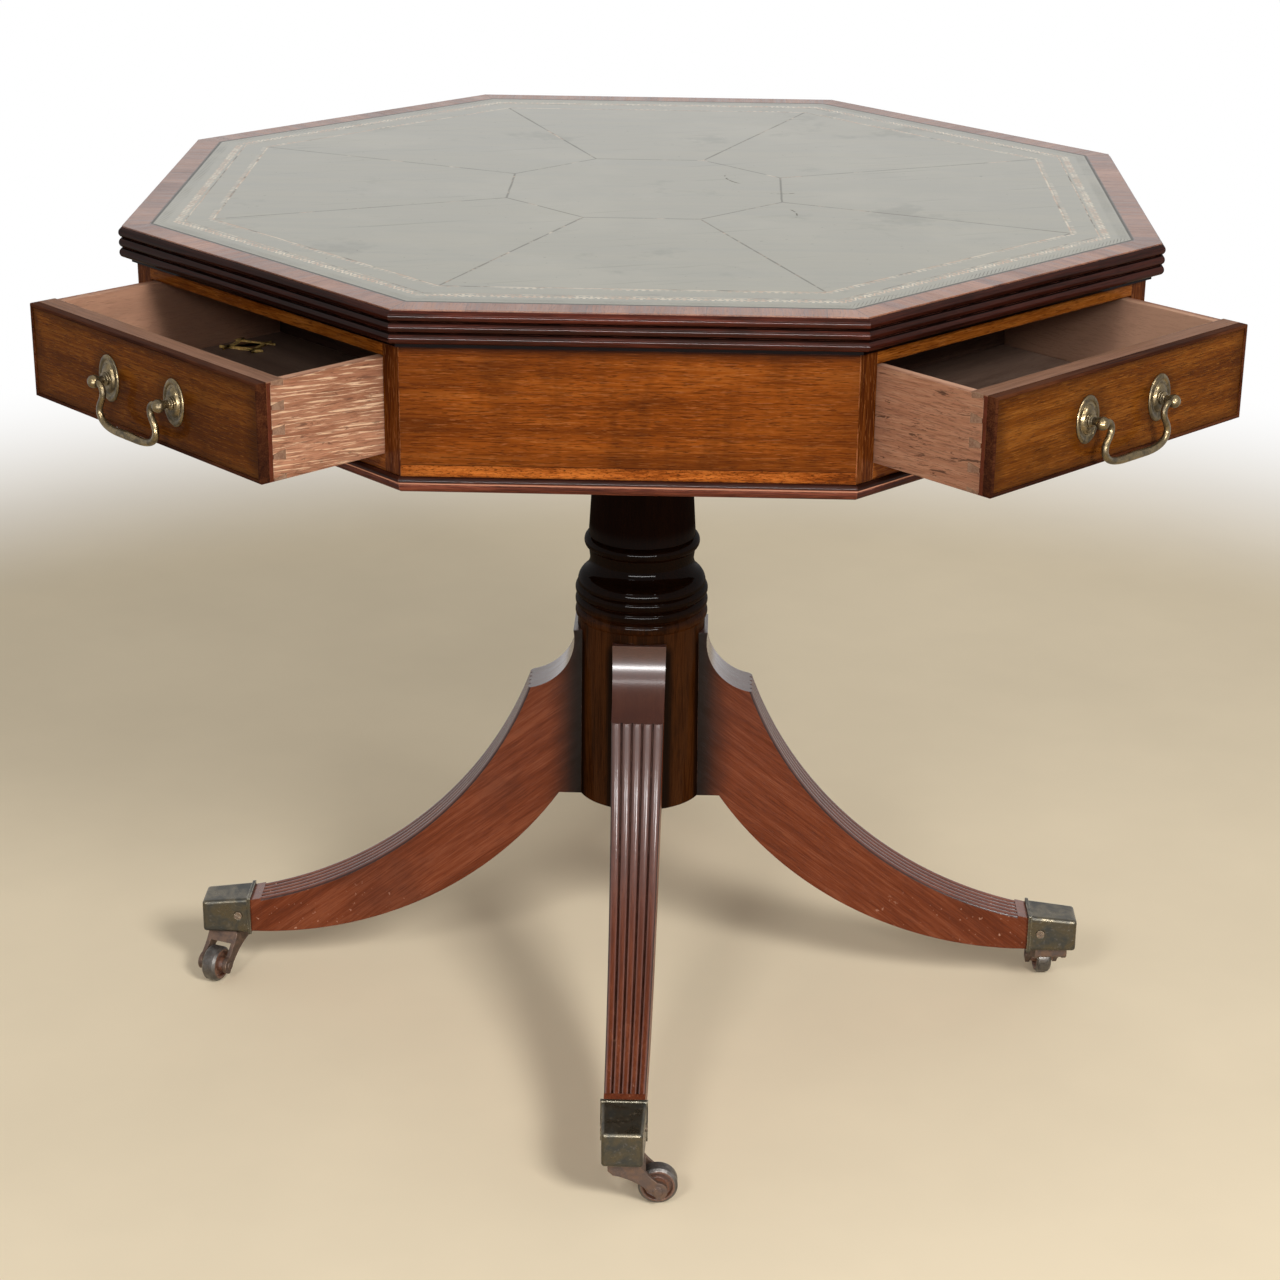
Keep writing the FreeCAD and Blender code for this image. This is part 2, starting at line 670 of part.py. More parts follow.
handle_level = (drawer_foot + drawer_top) / 2
post_half = d.post_spacing / 2
right_post = Placement(Vector(0, float(post_half), float(handle_level)), Rotation())
left_post = Placement(Vector(0, -float(post_half), float(handle_level)), Rotation(Vector(1, 0, 0), 180))
mounts = doc.addObject("Part::Compound", "mount_parts")
mounts.Links = [post, rosette, nut_ring]
handle_mounts = copies("handle_mounts", mounts, [right_post, left_post])
shank_holes = copies("shank_holes", shank_hole, [right_post, left_post])
front_blank = fuse("front_blank", front_board, front_field)
front = cut("drawer_front", front_blank, front_groove, side_pair, shank_holes)


def cock_bead_frame():
    # Round-nosed bead swept once round the face, mitred at its corners.
    back_x, face_x, nose_x = float(rebate_back), float(frieze_face), float(frieze_face + d.bead_proud)
    half, low, high = float(drawer_half), float(drawer_foot), float(drawer_top)
    depth = float(d.bead_thick)
    path = Part.makePolygon([
        Vector(back_x, 0, low),
        Vector(back_x, half, low),
        Vector(back_x, half, high),
        Vector(back_x, -half, high),
        Vector(back_x, -half, low),
        Vector(back_x, 0, low),
    ])
    crown = Vector(nose_x, 0, low + depth / 2)
    nose = Part.Arc(Vector(face_x, 0, low + depth), crown, Vector(face_x, 0, low))
    flats = Part.makePolygon([
        Vector(face_x, 0, low),
        Vector(back_x, 0, low),
        Vector(back_x, 0, low + depth),
        Vector(face_x, 0, low + depth),
    ])
    section = Part.Wire(flats.Edges + [nose.toShape()])
    return path.makePipeShell([section], True, True, 1)


def bail_solid():
    # Swan-neck bail: round sections that swell towards the grip, on a smooth line in the hanging plane.
    pin_radius = float(d.bail_pin_dia / 2)
    inner = float(post_half) - math.sqrt(float(ball) ** 2 - pin_radius ** 2)
    turn = float(d.bail_turn)
    bow = float(d.bail_bow)
    arm = float(post_half) - bow
    drop = float(d.bail_drop)
    half_line = [
        (inner, 0),
        (inner - turn * 0.5, -turn * 0.06),
        (inner - turn, -turn * 0.7),
        (inner - turn * 0.88, -drop * 0.32),
        (arm - bow * 0.15, -drop * 0.53),
        (arm, -drop * 0.68),
        (arm - bow * 0.6, -drop * 0.86),
        (arm - bow * 2, -drop * 0.97),
    ]
    line = half_line + [(0, -drop)] + [(-y, z) for y, z in reversed(half_line)]
    at_x, at_z = float(ball_at), float(handle_level)
    curve = Part.BSplineCurve()
    curve.interpolate([Vector(at_x, y, at_z + z) for y, z in line])
    neck_radius, grip_radius = float(d.bail_neck_dia / 2), float(d.bail_dia / 2)
    sections = []
    steps = 40
    first, last = curve.FirstParameter, curve.LastParameter
    for step in range(steps + 1):
        where = first + (last - first) * step / steps
        share = min(step, steps - step) / (steps / 2)
        radius = neck_radius + (grip_radius - neck_radius) * share ** 2
        if step in (0, steps):
            radius = pin_radius
        ring = Part.Circle(curve.value(where), curve.tangent(where)[0], radius)
        sections.append(Part.Wire(ring.toShape()))
    grip = Part.makeLoft(sections, True, False)
    depth = float(d.bail_pin_depth)
    for sign in (1, -1):
        root = Vector(at_x, sign * (inner - pin_radius / 4), at_z)
        grip = grip.fuse(Part.makeCylinder(pin_radius, depth, root, Vector(0, sign, 0)))
    return grip


bead_frame = shaped("bead_frame", cock_bead_frame())
bail = shaped("bail", bail_solid())
settle()

drawer_parts = {
    "drawer_front": front,
    "drawer_sides": side_pair,
    "drawer_back": back,
    "drawer_bottom": bottom,
    "cock_bead": bead_frame,
    "handle_mounts": handle_mounts,
    "handle_bail": bail,
}
for side, (angle, stands_open) in DRAWERS.items():
    shift = Vector(float(d.drawer_open) if stands_open else 0, 0, 0)
    for part, source in drawer_parts.items():
        label = part + "_" + side
        piece(label, shaped(label, source.Shape.copy(), turned(angle, shift)))


# Leg, drawn along +X.
def arc_centre(start, end, radius):
    # Centre of the arc from start to end that lies on the upper, outer side.
    along = end.sub(start)
    rise = math.sqrt(radius ** 2 - along.Length ** 2 / 4)
    return start.add(end).multiply(0.5).add(Vector(-along.z, 0, along.x).normalize().multiply(rise))


def arc_between(start, end, centre):
    radius = start.sub(centre).Length
    middle = start.add(end).multiply(0.5).sub(centre).normalize().multiply(radius).add(centre)
    return Part.Arc(start, middle, end).toShape()


column_face = d.column_dia / 2
shoulder = Vector(float(column_face + d.shoulder_step), 0, float(d.shoulder_level))
knee = Vector(float(d.knee_reach), 0, float(d.knee_level))
toe = Vector(float(d.toe_reach), 0, float(d.toe_top))
toe_under = Vector(float(d.toe_reach), 0, float(d.toe_bottom))
crotch = Vector(float(d.crotch_reach), 0, float(d.foot_level))
sweep_radius = toe.sub(knee).Length * float(d.sweep_curve)
under_radius = toe_under.sub(crotch).Length * float(d.under_curve)
sweep = arc_centre(knee, toe, sweep_radius)
hollow = arc_centre(shoulder, knee, float(d.hollow_radius))
under = arc_centre(crotch, toe_under, under_radius)


def slab(corners, width):
    # Flat-sided block with the given outline in the leg's plane, centred on that plane.
    edges = []
    for index, corner in enumerate(corners):
        following = corners[(index + 1) % len(corners)]
        edges.append(Part.makeLine(corner, following))
    face = Part.Face(Part.Wire(edges))
    face.translate(Vector(0, -width / 2, 0))
    return face.extrude(Vector(0, width, 0))


def bearing_angle(point):
    ray = point.sub(sweep)
    return math.atan2(ray.z, ray.x) % (2 * math.pi)


def reeded_blank():
    # Radial sections round the centre of the upper sweep, each with a row of round reeds on top.
    first = bearing_angle(shoulder) - math.radians(5)
    last = bearing_angle(toe)
    crown = sweep_radius
    valley = crown + float(d.reed_swell)
    deep = crown + float(d.shoulder_level - d.foot_level)
    count = 14
    sections = []
    for step in range(count + 1):
        share = step / count
        angle = first + (last - first) * share
        width = float(d.leg_width) + float(d.toe_width - d.leg_width) * share
        ray = Vector(math.cos(angle), 0, math.sin(angle))

        def at(radius, y):
            return sweep + ray * radius + Vector(0, y, 0)

        reed = width / LEG_REEDS
        edges = []
        for index in range(LEG_REEDS):
            y = -width / 2 + reed * index
            edges.append(Part.Arc(at(valley, y), at(crown, y + reed / 2), at(valley, y + reed)).toShape())
        flank = Part.makePolygon([
            at(valley, width / 2),
            at(deep, width / 2),
            at(deep, -width / 2),
            at(valley, -width / 2),
        ])
        sections.append(Part.Wire(edges + flank.Edges))
    return Part.makeLoft(sections, True, False)


def toe_solid(grow):
    # Tapered toe that fills the socket. Grown by the wall it is the outside of the socket.
    end_x = float(d.toe_reach + d.toe_length) + grow
    mouth = float(d.toe_width) / 2 + grow
    tip = mouth - float(d.toe_taper) / 2
    low = float(d.toe_bottom) - grow
    mouth_top = float(d.toe_top) + grow
    tip_top = mouth_top - float(d.toe_slope)
    sections = []
    for x, half, top in ((float(d.toe_reach), mouth, mouth_top), (end_x, tip, tip_top)):
        ring = [Vector(x, -half, low), Vector(x, half, low), Vector(x, half, top), Vector(x, -half, top)]
        sections.append(Part.makePolygon(ring + ring[:1]))
    return Part.makeLoft(sections, True, True)


def tail_solid():
    # Dovetail that slides up into the column from below.
    overlap = float(d.tail_depth) / 4
    root, deep = float(column_face) + overlap, float(column_face - d.tail_depth)
    narrow, wide = float(d.tail_narrow) / 2, float(d.tail_wide) / 2
    flare = narrow - (wide - narrow) / 4
    low = float(d.foot_level)
    near, far = Vector(root, -flare, low), Vector(root, flare, low)
    plan = [near, Vector(deep, -wide, low), Vector(deep, wide, low), far]
    return Part.Face(Part.makePolygon(plan + plan[:1])).extrude(Vector(0, 0, float(d.tail_height)))


def leg_solid():
    reach = float(d.toe_reach)
    stop = reach - float(d.reed_stop)
    wide = float(d.leg_width) * 2
    low, high = float(d.foot_level), float(d.shoulder_level)
    beyond = slab([
        Vector(stop, 0, 0),
        Vector(stop * 2, 0, 0),
        Vector(stop * 2, 0, high),
        Vector(stop, 0, high),
    ], wide)
    above = slab([
        Vector(-reach, 0, high),
        Vector(reach, 0, high),
        Vector(reach, 0, high * 2),
        Vector(-reach, 0, high * 2),
    ], wide)
    hollow_end = hollow - Vector(0, wide / 2, 0)
    hollow_bar = Part.makeCylinder(float(d.hollow_radius), wide, hollow_end, Vector(0, 1, 0))
    edges = [
        Part.makeLine(Vector(0, 0, low), crotch),
        arc_between(crotch, toe_under, under),
        Part.makeLine(toe_under, Vector(reach, 0, -low)),
        Part.makeLine(Vector(reach, 0, -low), Vector(0, 0, -low)),
        Part.makeLine(Vector(0, 0, -low), Vector(0, 0, low)),
    ]
    below_face = Part.Face(Part.Wire(edges))
    below_face.translate(Vector(0, -wide / 2, 0))
    below = below_face.extrude(Vector(0, wide, 0))
    core = Part.makeCylinder(float(column_face), high * 2)
    behind = slab([Vector(-reach, 0, 0), Vector(0, 0, 0), Vector(0, 0, high), Vector(-reach, 0, high)], wide)
    blank = reeded_blank().cut([beyond, above, hollow_bar, below, core, behind])

    def crown_at(x):
        return sweep.z - math.sqrt(sweep_radius ** 2 - (x - sweep.x) ** 2)

    def under_at(x):
        return under.z - math.sqrt(under_radius ** 2 - (x - under.x) ** 2)

    stop_low, stop_high = Vector(stop, 0, under_at(stop)), Vector(stop, 0, crown_at(stop))
    band = slab([stop_low, toe_under, toe, stop_high], float(d.toe_width))
    tail = tail_solid().cut(Part.makeBox(reach, wide, high, Vector(float(column_face), -wide / 2, 0)))
    return blank.fuse([band, toe_solid(0), tail]).removeSplitter()


def socket_solid():
    outer = toe_solid(float(d.socket_wall))
    mouth = float(d.toe_reach)
    sharp = [edge for edge in outer.Edges if max(vertex.X for vertex in edge.Vertexes) > mouth + 1]
    outer = outer.makeFillet(float(d.socket_round), sharp)
    lip = toe_solid(float(d.socket_wall + d.lip_proud))
    lip = lip.common(Part.makeBox(float(d.lip_width), mouth, mouth, Vector(mouth, -mouth / 2, 0)))
    return outer.fuse(lip).cut(toe_solid(0))


toe_half = d.toe_width / 2 + d.socket_wall
screw_x = d.toe_reach + d.toe_screw_offset
screw_lean = math.degrees(math.atan2(float(d.toe_taper) / 2, float(d.toe_length)))
screw_out = toe_half - d.toe_taper / 2 / d.toe_length * d.toe_screw_offset - d.screw_head_thick / 2
toe_middle = (d.toe_top + d.toe_bottom) / 2
toe_screw_seats = []
for sign in (1, -1):
    tilt = Rotation(Vector(0, 0, 1), -sign * screw_lean).multiply(Rotation(Vector(1, 0, 0), -sign * 90))
    spot = Vector(float(screw_x), sign * float(screw_out), float(toe_middle))
    toe_screw_seats.append(Placement(spot, tilt.multiply(Rotation(Vector(0, 0, 1), sign * 55))))

socket_foot = d.toe_bottom - d.socket_wall
caster_reach = d.toe_reach + d.caster_offset
seat_dia = d.swivel_dia + d.hinge_play * 2
swivel_seat = cylinder("swivel_seat", seat_dia, socket_foot, socket_foot + d.swivel_length + d.cheek_gap)
drive(swivel_seat, "Placement.Base.x", caster_reach)
toe_seats = copies("toe_screw_seats", screw_blank, toe_screw_seats)
leg = cut("leg", shaped("leg_blank", leg_solid()), swivel_seat, toe_seats)
socket = cut("socket", shaped("socket_blank", socket_solid()), swivel_seat, toe_seats)
leg_turns = [turned(angle) for angle, swivel in LEGS.values()]
tails = copies("leg_tails", shaped("leg_tail", tail_solid()), leg_turns)
settle()

# Column, turned from the underside up: shaft, rings, round shoulder, hollow, neck, bead, taper
# and capital, with the bore for the pin.
column_outline = [(nothing, d.foot_level), (column_face, d.foot_level)]
ring_bow = bow_radius(d.ring_pitch, d.ring_swell)
for step in range(COLUMN_RINGS):
    column_outline.append((column_face, d.ring_start + d.ring_pitch * step, ring_bow))
rings_top = d.ring_start + d.ring_pitch * COLUMN_RINGS
cove_foot = rings_top + d.shoulder_height
neck_foot = cove_foot + d.cove_height
bead_low = neck_foot + d.neck_height
bead_high = bead_low + d.astragal_height
astragal_swell = (d.astragal_dia - d.cone_low_dia) / 2
flare_foot = column_top - d.capital_plate - d.capital_flare
column_outline += [
    (column_face, rings_top, d.shoulder_radius),
    (d.shoulder_dia / 2, cove_foot, -d.cove_radius),
    (d.neck_width / 2, neck_foot),
    (d.cone_low_dia / 2, bead_low, bow_radius(d.astragal_height, astragal_swell)),
    (d.cone_low_dia / 2, bead_high),
    (d.cone_top_dia / 2, flare_foot, -d.capital_dia / 4),
    (d.capital_dia / 2, column_top - d.capital_plate),
    (d.capital_dia / 2, column_top),
    (d.pivot_dia / 2, column_top),
    (d.pivot_dia / 2, column_top - d.pivot_root),
    (nothing, column_top - d.pivot_root),
]
column_blank = revolved("column_blank", column_outline)
piece("column", cut("column", column_blank, tails, pivot_seats))

# Caster, drawn with its pivot on the Z axis and its wheel trailing along +X.
plate_back = d.horn_length / 2
plate_under = socket_foot - d.horn_block
axle_level = d.wheel_dia / 2
eye = d.eye_dia / 2
cheek_in = d.horn_width / 2 - d.horn_plate
strap = padded("horn_strap", "YZ_Plane", [
    (-d.horn_width / 2, nothing),
    (-cheek_in, nothing),
    (-cheek_in, plate_under),
    (cheek_in, plate_under),
    (cheek_in, nothing),
    (d.horn_width / 2, nothing),
    (d.horn_width / 2, socket_foot - d.horn_bend, d.horn_bend),
    (d.horn_width / 2 - d.horn_bend, socket_foot),
    (-d.horn_width / 2 + d.horn_bend, socket_foot, d.horn_bend),
    (-d.horn_width / 2, socket_foot - d.horn_bend),
], d.horn_length + d.trail, level=-plate_back)
cheek_line = padded("horn_side", "XZ_Plane", [
    (-plate_back, plate_under + d.horn_plate / 2),
    (-plate_back + d.horn_plate, plate_under - d.horn_plate / 2, -d.horn_sweep),
    (d.trail, axle_level - eye, eye),
    (d.trail + eye, axle_level, eye),
    (d.trail, axle_level + eye, -d.horn_sweep),
    (plate_back, socket_foot),
    (-plate_back, socket_foot),
], d.horn_width * 2, middle=True)
horn_form = doc.addObject("Part::Common", "horn_form")
horn_form.Base = strap
horn_form.Tool = cheek_line
swivel_pin = cylinder("swivel_pin", d.swivel_dia, plate_under, socket_foot + d.swivel_length)
across = Vector(0, 1, 0)


def on_axle(bar):
    drive(bar, "Placement.Base.x", d.trail)
    drive(bar, "Placement.Base.z", axle_level)
    return bar


axle_half = d.horn_width / 2
axle_bar = on_axle(cylinder("axle_bar", d.axle_dia, -axle_half, axle_half, across))
axle_end = axle_half + d.axle_head_thick
near_head = on_axle(cylinder("axle_head_near", d.axle_head, -axle_end, -axle_half, across))
far_head = on_axle(cylinder("axle_head_far", d.axle_head, axle_half, axle_end, across))
axle = fuse("axle", axle_bar, near_head, far_head)
horn = cut("horn", fuse("horn_blank", horn_form, swivel_pin), axle_bar)
horn_with_axle = doc.addObject("Part::Compound", "horn_with_axle")
horn_with_axle.Links = [horn, axle]

# Wheel turned about the axle: tread, dished web, hub that nearly fills the horn.
tread = d.wheel_dia / 2
half_tread = d.wheel_width / 2
half_web = d.wheel_web / 2
half_hub = cheek_in - d.cheek_gap
rim_in = tread - d.wheel_rim
boss = d.hub_boss / 2
wheel_bore = d.axle_dia / 2 + d.hinge_play
wheel = revolved("wheel", [
    (-half_hub, wheel_bore),
    (half_hub, wheel_bore),
    (half_hub, boss),
    (half_web, boss + d.wheel_bevel / 2),
    (half_web, rim_in - d.wheel_bevel / 2),
    (half_tread, rim_in),
    (half_tread, tread - d.wheel_bevel),
    (half_tread - d.wheel_bevel, tread),
    (-half_tread + d.wheel_bevel, tread),
    (-half_tread, tread - d.wheel_bevel),
    (-half_tread, rim_in),
    (-half_web, rim_in - d.wheel_bevel / 2),
    (-half_web, boss + d.wheel_bevel / 2),
    (-half_hub, boss),
], axis="H_Axis")
settle()

for side, (angle, swivel) in LEGS.items():
    piece("leg_" + side, shaped("leg_" + side, leg.Shape.copy(), turned(angle)))
    foot = turned(angle).multVec(Vector(float(caster_reach), 0, 0))
    trailing = Placement(foot, Rotation(Vector(0, 0, 1), swivel))
    piece("caster_horn_" + side, shaped("caster_horn_" + side, horn_with_axle.Shape.copy(), trailing))
    on_its_axle = Placement(Vector(float(d.trail), 0, float(axle_level)), Rotation(Vector(0, 0, 1), 90))
    wheel_place = trailing.multiply(on_its_axle)
    piece("caster_wheel_" + side, shaped("caster_wheel_" + side, wheel.Shape.copy(), wheel_place))
piece("caster_sockets", copies("caster_sockets", socket, leg_turns))
toe_screws = copies("toe_screws", screw, toe_screw_seats)
piece("socket_screws", copies("socket_screws", toe_screws, leg_turns))

settle()
os.makedirs("parts", exist_ok=True)
for feature in pieces:
    if feature.Shape.isNull() or not feature.Shape.isValid() or not feature.Shape.Solids:
        raise RuntimeError("no sound solid in " + feature.Label)
    feature.Shape.exportStep("parts/%s.step" % feature.Label)
    solids = feature.Shape.Solids
    print("%s: %d solids, %.1f cm3" % (feature.Label, len(solids), feature.Shape.Volume / 1000))
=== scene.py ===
import math

import bmesh
import bpy
from mathutils import Matrix, Vector


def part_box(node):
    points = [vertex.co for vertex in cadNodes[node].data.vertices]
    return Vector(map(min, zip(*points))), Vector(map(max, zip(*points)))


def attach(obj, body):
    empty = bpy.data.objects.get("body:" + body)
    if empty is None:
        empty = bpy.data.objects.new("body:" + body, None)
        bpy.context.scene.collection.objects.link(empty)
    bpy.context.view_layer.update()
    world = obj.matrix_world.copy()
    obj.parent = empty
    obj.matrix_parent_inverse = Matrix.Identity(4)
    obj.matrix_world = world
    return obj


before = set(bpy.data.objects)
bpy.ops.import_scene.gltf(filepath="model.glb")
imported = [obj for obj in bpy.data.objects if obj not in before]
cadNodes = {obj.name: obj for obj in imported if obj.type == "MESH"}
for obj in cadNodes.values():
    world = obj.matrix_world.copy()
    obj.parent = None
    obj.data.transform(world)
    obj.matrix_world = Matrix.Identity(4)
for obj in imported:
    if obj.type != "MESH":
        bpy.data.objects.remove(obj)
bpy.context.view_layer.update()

# Octagonal rent table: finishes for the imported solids, a drawer tag, floor, light and camera.
# Metres, +Z up. The two drawers that stand open face +X and -Y.
scene = bpy.context.scene
scene.view_settings.view_transform = "Standard"
drawerTurns = {"east": 0, "north": 90, "west": 180, "south": 270}
drawerOpen = {"east": 0.112, "north": 0.0, "west": 0.0, "south": 0.112}
legCorners = ("northeast", "northwest", "southwest", "southeast")
octant = math.pi / 4  # one face of the drum
diagonal = 0.7071  # sine and cosine of 45 degrees
photoTurn = Matrix.Rotation(math.radians(45), 4, "Z")  # from the photograph's frame to the part's
print("frame loaded, %d nodes" % len(cadNodes))


def feed(tree, socket, value):
    if isinstance(value, bpy.types.NodeSocket):
        tree.links.new(value, socket)
    else:
        socket.default_value = value


# A new node with its settings and the values or links of its inputs.
def added(tree, kind, values, **settings):
    node = tree.nodes.new(kind)
    for name, setting in settings.items():
        setattr(node, name, setting)
    for key, value in values.items() if isinstance(values, dict) else enumerate(values):
        feed(tree, node.inputs[key], value)
    return node


def calc(tree, operation, *values):
    return added(tree, "ShaderNodeMath", values, operation=operation).outputs[0]


def aim(tree, operation, *values):
    node = added(tree, "ShaderNodeVectorMath", values, operation=operation)
    return node.outputs["Value" if operation in ("LENGTH", "DISTANCE", "DOT_PRODUCT") else "Vector"]


def ease(tree, value, low, high):
    limits = {"Value": value, "From Min": low, "From Max": high}
    return added(tree, "ShaderNodeMapRange", limits, interpolation_type="SMOOTHSTEP").outputs["Result"]


def spread(tree, value, low, high):
    return added(tree, "ShaderNodeMapRange", {"Value": value, "To Min": low, "To Max": high}).outputs["Result"]


def ink(color):
    return (*color, 1.0)


def mixInk(tree, share, first, second):
    first, second = (ink(color) if isinstance(color, tuple) else color for color in (first, second))
    return added(tree, "ShaderNodeMix", {0: share, 6: first, 7: second}, data_type="RGBA").outputs[2]


def ramp(tree, value, stops):
    node = tree.nodes.new("ShaderNodeValToRGB")
    bar = node.color_ramp.elements
    for index, (where, color) in enumerate(stops):
        stop = bar[index] if index < 2 else bar.new(where)
        stop.position = where
        stop.color = ink(color)
    feed(tree, node.inputs[0], value)
    return node.outputs["Color"]


# Three or four colours at the usual places of a ramp.
def shades(*colors):
    return list(zip((0.0, 0.5, 1.0) if len(colors) == 3 else (0.0, 0.35, 0.65, 1.0), colors))


def cloud(tree, at, scale, detail=2.0, rough=0.5, warp=0.0):
    inputs = {"Vector": at, "Scale": scale, "Detail": detail, "Roughness": rough, "Distortion": warp}
    return added(tree, "ShaderNodeTexNoise", inputs).outputs[0]


def joined(tree, x, y, z):
    return added(tree, "ShaderNodeCombineXYZ", (x, y, z)).outputs[0]


def parted(tree, at):
    return added(tree, "ShaderNodeSeparateXYZ", (at,)).outputs


def largest(tree, *masks):
    result = masks[0]
    for mask in masks[1:]:
        result = calc(tree, "MAXIMUM", result, mask)
    return result


def times(tree, *masks):
    result = masks[0]
    for mask in masks[1:]:
        result = calc(tree, "MULTIPLY", result, mask)
    return result


def plus(tree, first, second):
    return calc(tree, "ADD", first, second)


def minus(tree, first, second):
    return calc(tree, "SUBTRACT", first, second)


def unsigned(tree, value):
    return calc(tree, "ABSOLUTE", value)


def inverse(tree, mask):
    return spread(tree, mask, 1.0, 0.0)


# Lays a tone over the colour where all the masks meet.
def tint(tree, color, tone, *masks):
    return mixInk(tree, times(tree, *masks), color, tone)


# A soft line of the given half width round one value.
def nearTo(tree, value, place, wide):
    return ease(tree, unsigned(tree, minus(tree, value, place)), wide * 1.3, wide * 0.5)


def stretched(tree, at, scale, detail, rough, warp):
    return cloud(tree, aim(tree, "MULTIPLY", at, scale), 1.0, detail, rough, warp)


def patchy(tree, spot, scale, low, high):
    return ease(tree, cloud(tree, spot, scale, 4.0, 0.7), low, high)


def newGroup(name, takes, gives):
    group = bpy.data.node_groups.new(name, "ShaderNodeTree")
    for label, kind, value in takes:
        socket = group.interface.new_socket(name=label, in_out="INPUT", socket_type="NodeSocket" + kind)
        if value is not None:
            socket.default_value = value
    for label, kind in gives:
        group.interface.new_socket(name=label, in_out="OUTPUT", socket_type="NodeSocket" + kind)
    start = group.nodes.new("NodeGroupInput")
    end = group.nodes.new("NodeGroupOutput")
    return group, start.outputs, end.inputs


def useGroup(tree, group, **values):
    return added(tree, "ShaderNodeGroup", values, node_tree=group).outputs


# Place on the octagon: along its face, out from the axis, and how near the mitre is.
def makeDrumFace():
    group, take, give = newGroup("drumFace", [("Spot", "Vector", None)], [
        ("Along", "Float"), ("Out", "Float"), ("Up", "Float"), ("Face", "Float"), ("Mitre", "Float")])
    x, y, z = parted(group, take["Spot"])
    face = calc(group, "ROUND", calc(group, "DIVIDE", calc(group, "ARCTAN2", y, x), octant))
    turn = times(group, face, octant)
    cosine, sine = calc(group, "COSINE", turn), calc(group, "SINE", turn)
    out = plus(group, times(group, x, cosine), times(group, y, sine))
    along = minus(group, times(group, y, cosine), times(group, x, sine))
    corner = times(group, out, math.sin(octant / 2))
    mitre = minus(group, corner, times(group, unsigned(group, along), math.cos(octant / 2)))
    for label, value in (("Along", along), ("Out", out), ("Up", z), ("Mitre", mitre)):
        feed(group, give[label], value)
    feed(group, give["Face"], calc(group, "FLOORED_MODULO", face, 8.0))
    return group


# Wood with its grain along X: broad figure, streaks and short open pores, each stretched to 0..1.
figureLook = {
    "broad": (3.4, 36.0, 36.0), "streak": (9.0, 190.0, 190.0), "fine": (34.0, 820.0, 820.0),
    "pores": (95.0, 1250.0, 1250.0), "flecks": (90.0, 1150.0, 1150.0),
    "seedShift": (7.13, 3.31, 5.77), "fleckShift": (4.7, 8.3, 1.9),
}


def makeWoodFigure():
    look = figureLook
    group, take, give = newGroup("woodFigure", [("Grain", "Vector", None), ("Seed", "Float", 0.0)], [
        ("Figure", "Float"), ("Streak", "Float"), ("Pores", "Float"), ("Flecks", "Float"), ("Height", "Float")])
    shift = joined(group, *[times(group, take["Seed"], step) for step in look["seedShift"]])
    at = aim(group, "ADD", take["Grain"], shift)
    broad = stretched(group, at, look["broad"], 3.0, 0.55, 0.8)
    streak = stretched(group, at, look["streak"], 3.0, 0.62, 0.5)
    fine = stretched(group, at, look["fine"], 2.0, 0.6, 0.2)
    narrow = plus(group, times(group, streak, 0.32), times(group, fine, 0.32))
    blend = plus(group, times(group, broad, 0.36), narrow)
    pores = ease(group, stretched(group, at, look["pores"], 2.0, 0.6, 0.3), 0.54, 0.66)
    apart = aim(group, "ADD", at, look["fleckShift"])
    flecks = ease(group, stretched(group, apart, look["flecks"], 2.0, 0.6, 0.3), 0.56, 0.68)
    lines = plus(group, times(group, streak, 0.6), times(group, fine, 0.4))
    feed(group, give["Figure"], ease(group, blend, 0.38, 0.62))
    feed(group, give["Streak"], ease(group, lines, 0.36, 0.64))
    feed(group, give["Pores"], pores)
    feed(group, give["Flecks"], flecks)
    feed(group, give["Height"], minus(group, times(group, fine, 0.8), pores))
    return group


# Rubbed edges, broken into patches, and the softened normal that goes with them.
def makeEdgeWear():
    group, take, give = newGroup("edgeWear", [
        ("Spot", "Vector", None), ("Radius", "Float", 0.002), ("Patch", "Float", 60.0)], [
        ("Wear", "Float"), ("Normal", "Vector")])
    soft = added(group, "ShaderNodeBevel", {"Radius": take["Radius"]}, samples=6).outputs[0]
    flat = group.nodes.new("ShaderNodeNewGeometry").outputs["Normal"]
    turnOff = minus(group, 1.0, aim(group, "DOT_PRODUCT", soft, flat))
    patch = ease(group, cloud(group, take["Spot"], take["Patch"], 3.0, 0.6), 0.40, 0.62)
    feed(group, give["Wear"], times(group, ease(group, turnOff, 0.02, 0.22), patch))
    feed(group, give["Normal"], soft)
    return group


# Uneven tarnish on metal: a dark film and small crusted pits.
def makeTarnish():
    group, take, give = newGroup("tarnish", [("Spot", "Vector", None), ("Scale", "Float", 90.0)], [
        ("Film", "Float"), ("Pits", "Float")])
    film = cloud(group, take["Spot"], take["Scale"], 4.0, 0.65, 0.6)
    pits = cloud(group, take["Spot"], times(group, take["Scale"], 7.0), 2.0, 0.6)
    feed(group, give["Film"], ease(group, film, 0.34, 0.66))
    feed(group, give["Pits"], ease(group, pits, 0.58, 0.72))
    return group


drumFace = makeDrumFace()
woodFigure = makeWoodFigure()
edgeWear = makeEdgeWear()
tarnish = makeTarnish()
print("shared node groups made")


def startFinish(name, plain):
    finish = bpy.data.materials.new(name)
    finish.use_nodes = True
    tree = finish.node_tree
    shader = tree.nodes["Principled BSDF"]
    for label, value in plain.items():
        shader.inputs[label].default_value = value
    spot = tree.nodes.new("ShaderNodeTexCoord").outputs["Object"]
    return finish, tree, shader, spot


